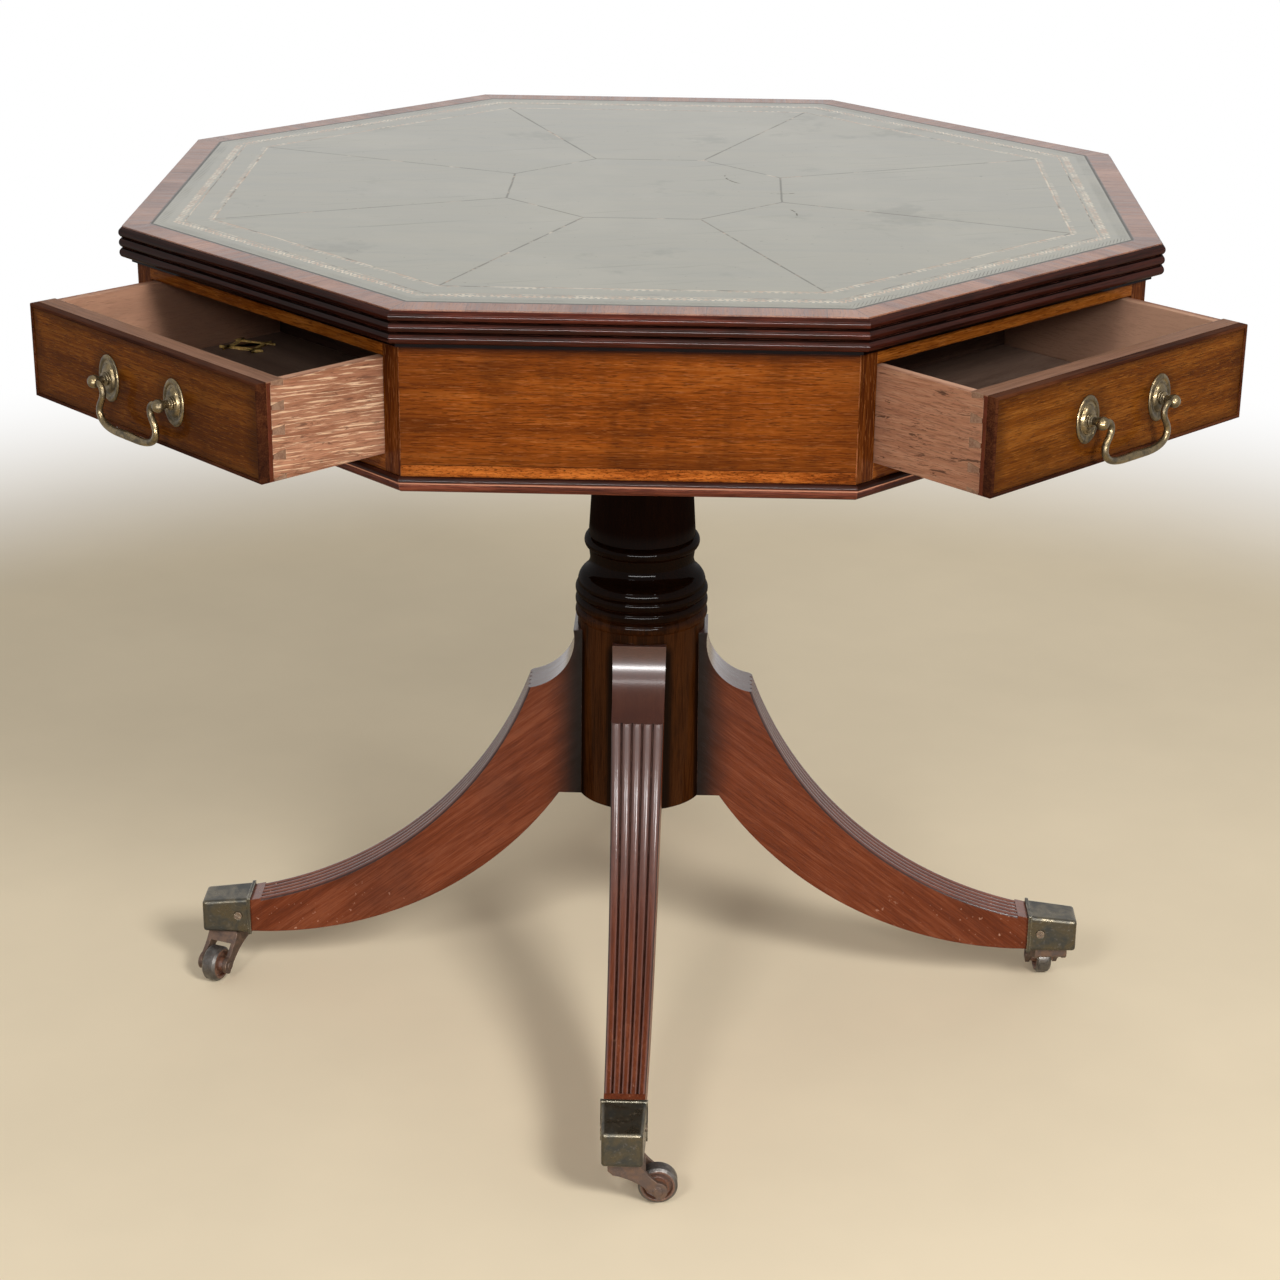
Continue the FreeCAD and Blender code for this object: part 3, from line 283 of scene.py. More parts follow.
def relief(tree, shader, height, distance, normal=None):
    bump = added(tree, "ShaderNodeBump", {"Distance": distance, "Height": height})
    if normal is not None:
        feed(tree, bump.inputs["Normal"], normal)
    feed(tree, shader.inputs["Normal"], bump.outputs[0])


def dress(finish, *names):
    for name in names:
        for slot in cadNodes[name].material_slots:
            slot.material = finish


# Which way the grain runs on the drum, and where on a face a spot lies.
def drumGrain(*order):
    def grainOf(tree, spot):
        face = useGroup(tree, drumFace, Spot=spot)
        return joined(tree, *[face[label] for label in order]), face["Face"], face
    return grainOf


def woodFinish(name, grainOf, look, paint=None):
    finish, tree, shader, spot = startFinish(name, {
        "Coat Weight": look["polish"], "Coat Roughness": look["polishRough"], "Specular IOR Level": look["shine"]})
    grain, face, where = grainOf(tree, spot)
    seed = plus(tree, face, look["seed"]) if isinstance(face, bpy.types.NodeSocket) else look["seed"]
    wood = useGroup(tree, woodFigure, Grain=grain, Seed=seed)
    edge = useGroup(tree, edgeWear, Spot=spot, Radius=look["edge"])
    color = ramp(tree, wood["Figure"], look["tones"])
    color = tint(tree, color, look["dark"], wood["Streak"], look["streak"])
    color = tint(tree, color, look["dark"], wood["Pores"], look["pores"])
    color = tint(tree, color, look["pale"], wood["Flecks"], look["flecks"])
    grime = ease(tree, cloud(tree, spot, 9.0, 4.0, 0.65), 0.50, 0.74)
    color = tint(tree, color, look["dark"], grime, look["grime"])
    made = {"spot": spot, "grain": grain, "wood": wood, "where": where, "seed": seed}
    if paint:
        color = paint(tree, color, made)
    if "Coat" in where:  # some parts of the piece shine more than the rest
        feed(tree, shader.inputs["Coat Weight"], spread(tree, where["Coat"], look["polish"], look["polishOn"]))
    color = tint(tree, color, look["pale"], edge["Wear"], look["wear"])
    feed(tree, shader.inputs["Base Color"], color)
    dull = spread(tree, wood["Streak"], look["rough"] - 0.06, look["rough"] + 0.08)
    feed(tree, shader.inputs["Roughness"], plus(tree, dull, times(tree, grime, 0.08)))
    relief(tree, shader, wood["Height"], look["grainDeep"], edge["Normal"])
    return finish


# Drum: frieze, posts, rails and mouldings.
friezeLook = {
    "tones": shades((0.120, 0.026, 0.002), (0.205, 0.047, 0.004), (0.280, 0.068, 0.006), (0.420, 0.118, 0.016)),
    "dark": (0.060, 0.014, 0.002), "pale": (0.560, 0.220, 0.075), "streak": 0.42, "pores": 0.72, "flecks": 0.20,
    "grime": 0.42, "wear": 0.60, "shine": 0.0, "polish": 0.10, "polishRough": 0.12, "rough": 0.38, "grainDeep": 0.00012,
    "edge": 0.0012, "seed": 0.0, "foot": 0.6412, "footPores": 0.85, "mottle": (3.6, 1.2, 1.2), "mottleSeed": 9.7,
    "footTones": [(0.0, (0.130, 0.028, 0.003)), (0.40, (0.310, 0.072, 0.008)), (1.0, (0.560, 0.165, 0.026))],
    "ribbon": (30.0, 7.0, 7.0), "ribbonShare": 0.34, "top": 0.732, "half": 0.1686, "lapAt": 0.6445,
    "border": 0.62, "joint": (0.016, 0.005, 0.002),
}


def paintFrieze(tree, color, made):
    where, look = made["where"], friezeLook
    isFoot = ease(tree, where["Up"], look["foot"] + 0.0002, look["foot"] - 0.0002)
    mottle = useGroup(tree, woodFigure, Grain=aim(tree, "MULTIPLY", made["grain"], look["mottle"]),
                      Seed=plus(tree, made["seed"], look["mottleSeed"]))
    footColor = ramp(tree, mottle["Figure"], look["footTones"])
    footColor = tint(tree, footColor, look["dark"], mottle["Pores"], look["footPores"])
    ribbon = stretched(tree, made["grain"], look["ribbon"], 3.0, 0.6, 0.4)
    color = tint(tree, color, look["dark"], ease(tree, ribbon, 0.44, 0.66), look["ribbonShare"])
    color = mixInk(tree, isFoot, color, footColor)
    # darker along the side borders and over the joint of the foot strip; painted shade along the top, under the
    # moulding
    ragged = spread(tree, cloud(tree, made["spot"], 24.0, 3.0, 0.6), 0.2, 1.8)
    fromSide = minus(tree, look["half"], unsigned(tree, where["Along"]))
    fromTop = minus(tree, look["top"], where["Up"])
    sides = times(tree, ease(tree, fromSide, times(tree, ragged, 0.050), 0.004), 0.55)
    upper = ease(tree, fromTop, times(tree, ragged, 0.011), 0.001)
    lower = times(tree, nearTo(tree, where["Up"], look["lapAt"], 0.0075), 0.45)
    color = tint(tree, color, look["dark"], largest(tree, sides, upper, lower), look["border"])
    joint = nearTo(tree, where["Up"], look["foot"], 0.0005)
    # painted shadow: a near-black line right under the moulding
    creaseDirtAndShade = ease(tree, fromTop, times(tree, ragged, 0.0035), 0.0005)
    return mixInk(tree, largest(tree, times(tree, joint, 0.6), times(tree, creaseDirtAndShade, 0.85)), color, look["joint"])


postLook = dict(friezeLook, tones=shades((0.036, 0.008, 0.002), (0.095, 0.023, 0.004), (0.200, 0.058, 0.011)),
                wear=0.55, grime=0.60, edge=0.0016, seed=2.6)
railLook = dict(friezeLook, tones=shades((0.120, 0.028, 0.003), (0.250, 0.070, 0.008), (0.420, 0.140, 0.022)),
                wear=0.35, grime=0.55, seed=5.1)
# The groove colour is painted shade, for the grooves and under the reeds.
mouldingLook = {
    "tones": shades((0.024, 0.006, 0.003), (0.072, 0.014, 0.007), (0.150, 0.030, 0.015)),
    "dark": (0.008, 0.003, 0.002), "pale": (0.300, 0.095, 0.065), "streak": 0.25, "pores": 0.30, "flecks": 0.0,
    "grime": 0.50, "wear": 0.30, "shine": 0.0, "polish": 0.21, "polishRough": 0.08, "rough": 0.30, "grainDeep": 0.00005,
    "edge": 0.0009, "seed": 1.2, "grooves": (0.7526, 0.7444), "grooveWide": 0.0012, "under": 0.7366,
    "groove": (0.004, 0.002, 0.0015), "grooveShadeShare": 0.9, "stain": 0.66,
}
# In the base moulding the hollow share is painted shade and the arris colour a painted highlight.
baseLook = dict(mouldingLook, tones=shades((0.032, 0.008, 0.005), (0.110, 0.027, 0.014), (0.250, 0.066, 0.034)),
                pale=(0.520, 0.210, 0.140), wear=0.85, edge=0.0016, seed=3.8, hollow=0.6280, hollowShadeShare=0.80,
                arrisHighlight=(0.720, 0.350, 0.250), arrisHighlightShare=0.85)
bandLook = {
    "tones": shades((0.140, 0.038, 0.016), (0.315, 0.112, 0.049), (0.490, 0.203, 0.100)),
    "dark": (0.045, 0.014, 0.008), "pale": (0.440, 0.220, 0.150), "streak": 0.35, "pores": 0.55, "flecks": 0.15,
    "grime": 0.25, "wear": 0.45, "shine": 0.30, "polish": 0.36, "polishRough": 0.17, "rough": 0.34,
    "grainDeep": 0.00006, "edge": 0.0010, "seed": 6.3, "leaf": 0.087, "leafShift": 0.031, "leafDark": 0.30,
    "inner": (0.3970, 0.3958), "joint": (0.016, 0.008, 0.006),
}


# Edge reeds: painted shade in the grooves and under the reeds, and darker strips over the drawers, which have the even
# faces.
def paintEdge(tree, color, made):
    where, look = made["where"], mouldingLook
    overDrawer = minus(tree, 1.0, calc(tree, "FLOORED_MODULO", where["Face"], 2.0))
    grooves = [nearTo(tree, where["Up"], level, look["grooveWide"]) for level in look["grooves"]]
    groove = largest(tree, *grooves, ease(tree, where["Up"], look["under"], look["under"] - 0.0006))
    color = tint(tree, color, look["dark"], overDrawer, look["stain"])
    return tint(tree, color, look["groove"], groove, look["grooveShadeShare"])


# Base moulding: painted shade in the upper hollow over a painted highlight along the arris.
def paintBase(tree, color, made):
    up, look = made["where"]["Up"], baseLook
    hollow = ease(tree, up, look["hollow"], look["hollow"] + 0.0006)
    arrisHighlight = nearTo(tree, up, look["hollow"] - 0.0010, 0.0009)
    color = tint(tree, color, look["dark"], hollow, look["hollowShadeShare"])
    return tint(tree, color, look["arrisHighlight"], arrisHighlight, look["arrisHighlightShare"])


# Crossbanding: short leaves of veneer laid across the edge, each a little different.
def paintBand(tree, color, made):
    where, look = made["where"], bandLook
    run = calc(tree, "DIVIDE", plus(tree, where["Along"], look["leafShift"]), look["leaf"])
    whichLeaf = plus(tree, calc(tree, "FLOOR", run), times(tree, where["Face"], 17.0))
    chance = added(tree, "ShaderNodeTexWhiteNoise", {"W": whichLeaf}, noise_dimensions="1D").outputs["Value"]
    color = mixInk(tree, spread(tree, chance, 0.0, look["leafDark"]), color, look["dark"])
    fromJoint = unsigned(tree, minus(tree, calc(tree, "FRACT", run), 0.5))
    joint = largest(tree, ease(tree, fromJoint, 0.493, 0.498), ease(tree, where["Mitre"], 0.0007, 0.0002))
    dark = largest(tree, times(tree, joint, 0.6), ease(tree, where["Out"], *look["inner"]))
    return tint(tree, color, look["joint"], dark, 0.85)


dress(woodFinish("goldenFrieze", drumGrain("Along", "Up", "Out"), friezeLook, paintFrieze), "frieze_panels")
dress(woodFinish("crossbandVeneer", drumGrain("Out", "Along", "Up"), bandLook, paintBand), "crossbanding")
dress(woodFinish("cornerPostWood", drumGrain("Up", "Along", "Out"), postLook), "corner_posts")
dress(woodFinish("drawerRailWood", drumGrain("Along", "Up", "Out"), railLook), "drawer_rails")
dress(woodFinish("edgeReedWood", drumGrain("Along", "Up", "Out"), mouldingLook, paintEdge), "edge_moulding")
dress(woodFinish("baseMouldingWood", drumGrain("Along", "Up", "Out"), baseLook, paintBase), "base_moulding")
print("drum finished")


# Leather: aged skin with gilt and blind tooling set out on the octagon.
leatherLook = {
    "skin": (0.206, 0.188, 0.118), "deep": (0.155, 0.145, 0.092), "rubbed": (0.268, 0.245, 0.165),
    "blind": (0.040, 0.036, 0.026), "damp": (0.105, 0.102, 0.066),
    "gilt": (0.640, 0.540, 0.380), "giltWorn": (0.420, 0.230, 0.100), "giltMetal": 0.30,
    "top": 0.762, "edge": 0.3955, "wander": 0.0007,
    "hatchAt": 0.3886, "hatchHalf": 0.0044, "hatchPitch": 0.0047, "hatchLean": 1.5,
    "chainAt": 0.3752, "chainHalf": 0.0040, "chainPitch": 0.0105, "leaves": ((0.25, -0.45), (0.75, 0.45)),
    "lineAt": 0.3510, "dotPitch": 0.0058, "hubAt": 0.1160, "lineWide": 0.0010,
    # what is left of each kind of tooling: scale of the patches and limits of the mask
    "kept": {"chain": (30.0, 0.26, 0.50), "dots": (22.0, 0.40, 0.60),
             "rules": (34.0, 0.34, 0.54), "spokes": (34.0, 0.52, 0.66)},
    "brush": (3.5, 55.0), "thread": (9.0, 240.0), "scratch": (6.0, 420.0), "scratchLean": 0.35,
    "rough": 0.36, "shine": 0.20, "polish": 0.92, "polishLeast": 0.04, "polishRough": 0.28,
    "hideScale": 620.0, "relief": 0.00020,
    # round scuffs: centre, radius, heading and half angle
    "scuffs": [((0.0400, 0.1150), 0.0420, (-0.45, -0.89), 0.55), ((0.1290, -0.0050), 0.0400, (0.55, 0.83), 0.50),
               ((0.0700, 0.0900), 0.0300, (0.80, -0.60), 0.40)],
}


def leatherTooling(tree, spot):
    look = leatherLook
    face = useGroup(tree, drumFace, Spot=spot)
    wander = spread(tree, cloud(tree, spot, 45.0, 2.0), -look["wander"], look["wander"])
    out = plus(tree, face["Out"], wander)
    along = face["Along"]
    # thin rules: the ring, the hub and the spokes on the mitres
    ring = nearTo(tree, out, look["lineAt"] - 0.0028, look["lineWide"])
    spoke = nearTo(tree, plus(tree, face["Mitre"], wander), 0.0, look["lineWide"])
    spoke = times(tree, spoke, calc(tree, "GREATER_THAN", out, look["hubAt"]),
                  calc(tree, "LESS_THAN", out, look["lineAt"] - 0.003))
    spoke = largest(tree, spoke, nearTo(tree, out, look["hubAt"], look["lineWide"]))
    rules = largest(tree, ring, nearTo(tree, out, look["chainAt"] - look["chainHalf"] - 0.0016, 0.0006))
    # small dots beside the ring
    dotRun = minus(tree, calc(tree, "FRACT", calc(tree, "DIVIDE", along, look["dotPitch"])), 0.5)
    dotOut = calc(tree, "POWER", minus(tree, out, look["lineAt"]), 2.0)
    dotSize = calc(tree, "SQRT", plus(tree, times(tree, dotRun, dotRun, look["dotPitch"] ** 2), dotOut))
    dots = ease(tree, dotSize, 0.0022, 0.0012)
    # running vine with a leaf in each bend
    across = calc(tree, "DIVIDE", minus(tree, out, look["chainAt"]), look["chainHalf"])
    step = calc(tree, "DIVIDE", along, look["chainPitch"])
    wave = times(tree, calc(tree, "SINE", times(tree, step, 2 * math.pi)), 0.5)
    vine = ease(tree, unsigned(tree, minus(tree, across, wave)), 0.36, 0.14)
    part = calc(tree, "FRACT", step)
    leaves = []
    for place, side in look["leaves"]:
        reach = times(tree, minus(tree, part, place), 3.4)
        rise = minus(tree, across, side)
        size = calc(tree, "SQRT", plus(tree, times(tree, reach, reach), times(tree, rise, rise)))
        leaves.append(ease(tree, size, 0.52, 0.32))
    chain = times(tree, largest(tree, vine, *leaves), ease(tree, unsigned(tree, across), 1.15, 1.0))
    kept = {kind: patchy(tree, spot, *values) for kind, values in look["kept"].items()}
    gilt = largest(tree, times(tree, chain, kept["chain"]), times(tree, dots, kept["dots"], 0.7),
                   times(tree, rules, kept["rules"], 0.85), times(tree, spoke, kept["spokes"], 0.8))
    # slanted strokes of a plain roll along the border, and the cut edge of the skin
    lean = plus(tree, along, times(tree, out, look["hatchLean"]))
    hatch = ease(tree, calc(tree, "SINE", times(tree, lean, 2 * math.pi / look["hatchPitch"])), 0.40, 0.95)
    hatchKept = spread(tree, ease(tree, cloud(tree, spot, 24.0, 3.0, 0.6), 0.36, 0.60), 0.25, 0.70)
    hatch = times(tree, hatch, nearTo(tree, out, look["hatchAt"], look["hatchHalf"]), hatchKept)
    cutEdge = ease(tree, face["Out"], look["edge"] - 0.0026, look["edge"] - 0.0014)
    blind = largest(tree, hatch, cutEdge, times(tree, rules, 0.75), times(tree, spoke, 0.60), times(tree, chain, 0.30))
    return gilt, blind


def strokes(tree, run, rise, scale, shift, detail, rough, warp):
    at = joined(tree, times(tree, run, scale[0]), times(tree, rise, scale[1]), shift)
    return cloud(tree, at, 1.0, detail, rough, warp)


def makeLeather():
    look = leatherLook
    finish, tree, shader, spot = startFinish("oldTooledLeather", {
        "Coat Roughness": look["polishRough"], "Specular IOR Level": look["shine"]})
    gilt, blind = leatherTooling(tree, spot)
    # skin colour: brushed streaks from edge to edge and soft blotches
    x, y = parted(tree, spot)[:2]
    level = times(tree, plus(tree, x, y), diagonal)
    depth = times(tree, minus(tree, y, x), diagonal)
    brushed = strokes(tree, level, depth, look["brush"], 0.0, 4.0, 0.65, 0.7)
    thread = strokes(tree, level, depth, look["thread"], 3.0, 3.0, 0.6, 0.8)
    blotch = cloud(tree, spot, 6.5, 4.0, 0.6)
    color = mixInk(tree, ease(tree, brushed, 0.30, 0.66), look["deep"], look["skin"])
    color = tint(tree, color, look["rubbed"], ease(tree, blotch, 0.46, 0.70), 0.55)
    color = tint(tree, color, look["deep"], ease(tree, thread, 0.56, 0.70), 0.40)
    # long scratches on a slant and a few dark damp patches
    run = plus(tree, level, times(tree, depth, look["scratchLean"]))
    rise = minus(tree, depth, times(tree, level, look["scratchLean"]))
    scratch = ease(tree, strokes(tree, run, rise, look["scratch"], 7.0, 2.0, 0.5, 0.6), 0.66, 0.73)
    damp = times(tree, patchy(tree, spot, 11.0, 0.60, 0.72), 0.55)
    color = mixInk(tree, largest(tree, times(tree, scratch, 0.6), damp), color, look["damp"])
    # round scuffs and dark specks
    marks = []
    for centre, radius, heading, half in look["scuffs"]:
        away = aim(tree, "SUBTRACT", spot, (*centre, look["top"]))
        far = aim(tree, "LENGTH", away)
        ahead = aim(tree, "DOT_PRODUCT", away, (*heading, 0.0))
        toward = calc(tree, "DIVIDE", ahead, calc(tree, "MAXIMUM", far, 0.001))
        sweep = ease(tree, toward, math.cos(half), math.cos(half * 0.7))
        marks.append(times(tree, nearTo(tree, far, radius, 0.0008), sweep))
    scuff = times(tree, largest(tree, *marks), ease(tree, cloud(tree, spot, 130.0, 2.0), 0.36, 0.56))
    specks = ease(tree, cloud(tree, spot, 210.0, 2.0, 0.5), 0.70, 0.76)
    color = tint(tree, color, look["blind"], largest(tree, scuff, times(tree, specks, 0.5)), 0.7)
    color = tint(tree, color, look["blind"], blind, 0.95)
    foil = ease(tree, cloud(tree, spot, 70.0, 3.0, 0.7), 0.40, 0.60)
    color = mixInk(tree, gilt, color, mixInk(tree, foil, look["giltWorn"], look["gilt"]))
    feed(tree, shader.inputs["Base Color"], color)
    feed(tree, shader.inputs["Metallic"], times(tree, gilt, look["giltMetal"]))
    matt = largest(tree, times(tree, blind, minus(tree, 1.0, gilt)), times(tree, scuff, 0.8), times(tree, specks, 0.4),
                   times(tree, scratch, 0.35), times(tree, damp, 0.25))
    feed(tree, shader.inputs["Coat Weight"], spread(tree, matt, look["polish"], look["polishLeast"]))
    dull = spread(tree, brushed, look["rough"] - 0.06, look["rough"] + 0.10)
    feed(tree, shader.inputs["Roughness"], plus(tree, dull, times(tree, scuff, 0.2)))
    hide = added(tree, "ShaderNodeTexVoronoi", {"Vector": spot, "Scale": look["hideScale"]}).outputs["Distance"]
    uneven = times(tree, cloud(tree, spot, 38.0, 4.0, 0.6), 0.8)
    height = plus(tree, times(tree, hide, 0.22), uneven)
    relief(tree, shader, minus(tree, height, largest(tree, gilt, blind)), look["relief"])
    dress(finish, "leather_top")


makeLeather()
print("leather finished")


# Drawers: polished fronts, plain insides. Sides differ from drawer to drawer.
frontLook = {
    "tones": shades((0.080, 0.020, 0.002), (0.130, 0.036, 0.003), (0.170, 0.050, 0.005), (0.250, 0.085, 0.012)),
    "dark": (0.034, 0.009, 0.001), "pale": (0.340, 0.135, 0.022), "streak": 0.32, "pores": 0.62, "flecks": 0.34,
    "grime": 0.40, "wear": 0.30, "shine": 0.01, "polish": 0.05, "polishRough": 0.12, "rough": 0.38,
    "grainDeep": 0.00012, "edge": 0.0012, "seed": 11.0, "lapEnd": (0.110, 0.026, 0.014),
    "topEdge": (0.290, 0.150, 0.092), "pin": (0.300, 0.185, 0.125), "middle": 0.6828, "halfWide": 0.150,
    "halfHigh": 0.0375, "border": 0.60, "mountAt": 0.043, "hands": 0.45,
    # where each bare face begins, with the width of the change
    "faceAt": 0.4065, "bareAt": (0.3962, 0.3955), "innerAt": (0.3856, 0.3852), "endAt": (0.1493, 0.1496),
    "topAt": (0.7192, 0.7196),
}
sideLook = {
    "tones": shades((0.330, 0.150, 0.085), (0.470, 0.215, 0.122), (0.600, 0.300, 0.180)),
    "dark": (0.150, 0.062, 0.034), "pale": (0.780, 0.545, 0.360), "streak": 0.30, "pores": 0.55, "flecks": 0.12,
    "grime": 0.45, "wear": 0.35, "shine": 0.15, "polish": 0.0, "polishRough": 0.3, "rough": 0.62, "grainDeep": 0.00020,
    "edge": 0.0012, "seed": 14.0, "red": (0.240, 0.092, 0.046), "knock": (0.085, 0.034, 0.018),
    "clean": (0.600, 0.345, 0.225), "dirtAndShadeUnderTop": (0.070, 0.032, 0.020), "redGrain": (15.0, 300.0, 90.0),
    "sliverGrain": (24.0, 520.0, 120.0), "knockGrain": (34.0, 240.0, 120.0), "outAt": (0.1440, 0.1490),
    "redFrom": (0.668, 0.716), "dirtAndShadeAt": (0.320, 0.276),
}
# shares of pale slivers, red streaks, dirt and knocks outside, and of clean wood inside
farWear = {"slivers": 0.2, "streaks": 0.4, "dirt": 0.1, "knocks": 0.5, "clean": 0.5}
sideWear = {
    "east": {"slivers": 0.10, "streaks": 0.40, "dirt": 0.20, "knocks": 0.95, "clean": 0.85},
    "north": farWear, "west": farWear,
    "south": {"slivers": 0.75, "streaks": 0.85, "dirt": 0.0, "knocks": 0.6, "clean": 0.48},
}
# Drawer backs are dark as painted shade, since they stay inside the drum.
shadedBackLook = dict(sideLook, tones=shades((0.050, 0.026, 0.017), (0.085, 0.045, 0.030), (0.130, 0.072, 0.048)),
                dark=(0.025, 0.013, 0.009), pale=(0.22, 0.13, 0.09), seed=17.0)
insideLook = dict(sideLook, tones=shades((0.170, 0.100, 0.070), (0.280, 0.175, 0.125), (0.400, 0.265, 0.195)),
                  dark=(0.090, 0.052, 0.036), pale=(0.480, 0.345, 0.260), grime=0.65, seed=21.0,
                  dirtAndShadeAt=(0.320, 0.260), dirtAndShadeShare=0.6)
drawerSeeds = {"east": 0.0, "north": 3.0, "west": 6.0, "south": 9.0}
beadLook = dict(mouldingLook, tones=shades((0.026, 0.007, 0.003), (0.065, 0.018, 0.006), (0.115, 0.036, 0.012)),
                pale=(0.30, 0.12, 0.05), polish=0.06, wear=0.45, seed=8.0)


# Along, Up and Out of a drawer; Out is measured as if it were shut.
def drawerGrain(side, *order):
    def grainOf(tree, spot):
        turn = {"Vector": spot, "Angle": -math.radians(drawerTurns[side])}
        x, y, z = parted(tree, added(tree, "ShaderNodeVectorRotate", turn, rotation_type="Z_AXIS").outputs[0])
        where = {"Out": minus(tree, x, drawerOpen[side]), "Along": y, "Up": z}
        return joined(tree, *[where[label] for label in order]), 0.0, where
    return grainOf


def paintFront(tree, color, made):
    where, look = made["where"], frontLook
    across = unsigned(tree, where["Along"])
    ragged = spread(tree, cloud(tree, made["spot"], 30.0, 3.0, 0.6), 0.3, 1.7)
    fromMiddle = unsigned(tree, minus(tree, where["Up"], look["middle"]))
    border = largest(tree, ease(tree, minus(tree, look["halfWide"], across), times(tree, ragged, 0.022), 0.002),
                     ease(tree, minus(tree, look["halfHigh"], fromMiddle), times(tree, ragged, 0.013), 0.002))
    color = tint(tree, color, look["dark"], border, look["border"])
    # hands leave a dark ring round the mounts
    hands = unsigned(tree, minus(tree, across, look["mountAt"]))
    hold = calc(tree, "SQRT", plus(tree, times(tree, hands, hands), times(tree, fromMiddle, fromMiddle)))
    held = ease(tree, hold, times(tree, ragged, 0.030), 0.016)
    color = tint(tree, color, look["dark"], held, look["hands"])
    # end grain of the lap, bare pins between the tails, bare top edge and inner face
    worn = spread(tree, made["wood"]["Streak"], 0.55, 1.0)
    bare = ease(tree, where["Out"], *look["bareAt"])
    isEnd = ease(tree, across, *look["endAt"])
    color = tint(tree, color, look["lapEnd"], isEnd, worn)
    isTop = times(tree, ease(tree, where["Up"], *look["topAt"]),
                  ease(tree, minus(tree, look["faceAt"], where["Out"]), 0.0, times(tree, ragged, 0.006)))
    color = tint(tree, color, look["topEdge"], isTop, worn)
    inner = largest(tree, ease(tree, where["Out"], *look["innerAt"]), times(tree, isEnd, bare))
    return tint(tree, color, look["pin"], inner, worn)


def paintSide(side):
    wear, look = sideWear[side], sideLook

    def paint(tree, color, made):
        where = made["where"]
        shifted = aim(tree, "ADD", made["grain"], (1.7 * drawerSeeds[side] + 0.3, 0.9, 2.1))
        x, y, z = parted(tree, shifted)
        slant = joined(tree, plus(tree, x, times(tree, y, 0.25)), minus(tree, y, times(tree, x, 0.10)), z)
        isOut = ease(tree, unsigned(tree, where["Along"]), *look["outAt"])
        color = tint(tree, color, look["dark"], isOut, wear["dirt"])
        waving = spread(tree, cloud(tree, made["spot"], 26.0, 3.0, 0.6), -0.020, 0.020)
        high = ease(tree, plus(tree, where["Up"], waving), *look["redFrom"])
        reddish = ease(tree, stretched(tree, slant, look["redGrain"], 4.0, 0.68, 0.5), 0.46, 0.60)
        reddish = largest(tree, reddish, times(tree, high, 0.58))
        color = tint(tree, color, look["red"], reddish, spread(tree, isOut, 0.3, wear["streaks"]))
        split = ease(tree, stretched(tree, slant, look["sliverGrain"], 4.0, 0.65, 0.4), 0.52, 0.62)
        color = tint(tree, color, look["pale"], split, isOut, wear["slivers"])
        # saw marks and knocks
        knocks = ease(tree, stretched(tree, slant, look["knockGrain"], 4.0, 0.72, 1.4), 0.57, 0.65)
        color = tint(tree, color, look["knock"], knocks, isOut, wear["knocks"])
        # inner faces are cleaner in front; dirt and painted shade where they stay under the top
        color = mixInk(tree, spread(tree, isOut, wear["clean"], 0.0), color, look["clean"])
        ragged = spread(tree, cloud(tree, made["spot"], 18.0, 4.0, 0.65), -0.030, 0.030)
        dirtAndShadeUnderTop = ease(tree, plus(tree, where["Out"], ragged), *look["dirtAndShadeAt"])
        return tint(tree, color, look["dirtAndShadeUnderTop"], dirtAndShadeUnderTop, spread(tree, isOut, 0.44, 0.30))
    return paint


def paintInside(tree, color, made):
    look = insideLook
    # dirt and painted shade where the bottom stays under the top
    ragged = spread(tree, cloud(tree, made["spot"], 18.0, 4.0, 0.65), -0.035, 0.035)
    dirtAndShadeUnderTop = ease(tree, plus(tree, made["where"]["Out"], ragged), *look["dirtAndShadeAt"])
    return tint(tree, color, look["dark"], dirtAndShadeUnderTop, look["dirtAndShadeShare"])


def makeDrawer(side):
    def lay(piece, name, look, order, paint=None):
        seeded = dict(look, seed=look["seed"] + drawerSeeds[side])
        dress(woodFinish(name + "_" + side, drawerGrain(side, *order), seeded, paint), piece + "_" + side)

    lay("drawer_front", "drawerFrontWood", frontLook, ("Along", "Up", "Out"), paintFront)
    lay("drawer_sides", "drawerSideWood", sideLook, ("Out", "Up", "Along"), paintSide(side))
    lay("drawer_back", "drawerBackShadedWood", shadedBackLook, ("Along", "Up", "Out"))
    lay("drawer_bottom", "drawerBottomWood", insideLook, ("Along", "Out", "Up"), paintInside)
    lay("cock_bead", "cockBeadWood", beadLook, ("Along", "Up", "Out"))


for drawerSide in drawerTurns:
    makeDrawer(drawerSide)
carcaseLook = dict(sideLook, tones=shades((0.120, 0.072, 0.042), (0.200, 0.125, 0.075), (0.300, 0.200, 0.130)),
                   dark=(0.060, 0.035, 0.022), pale=(0.420, 0.310, 0.215), grime=0.6, seed=30.0)
dress(woodFinish("carcaseOak", drumGrain("Along", "Up", "Out"), carcaseLook), "top_board", "base_board",
      "drawer_runners", "drawer_kickers")
print("drawers finished")
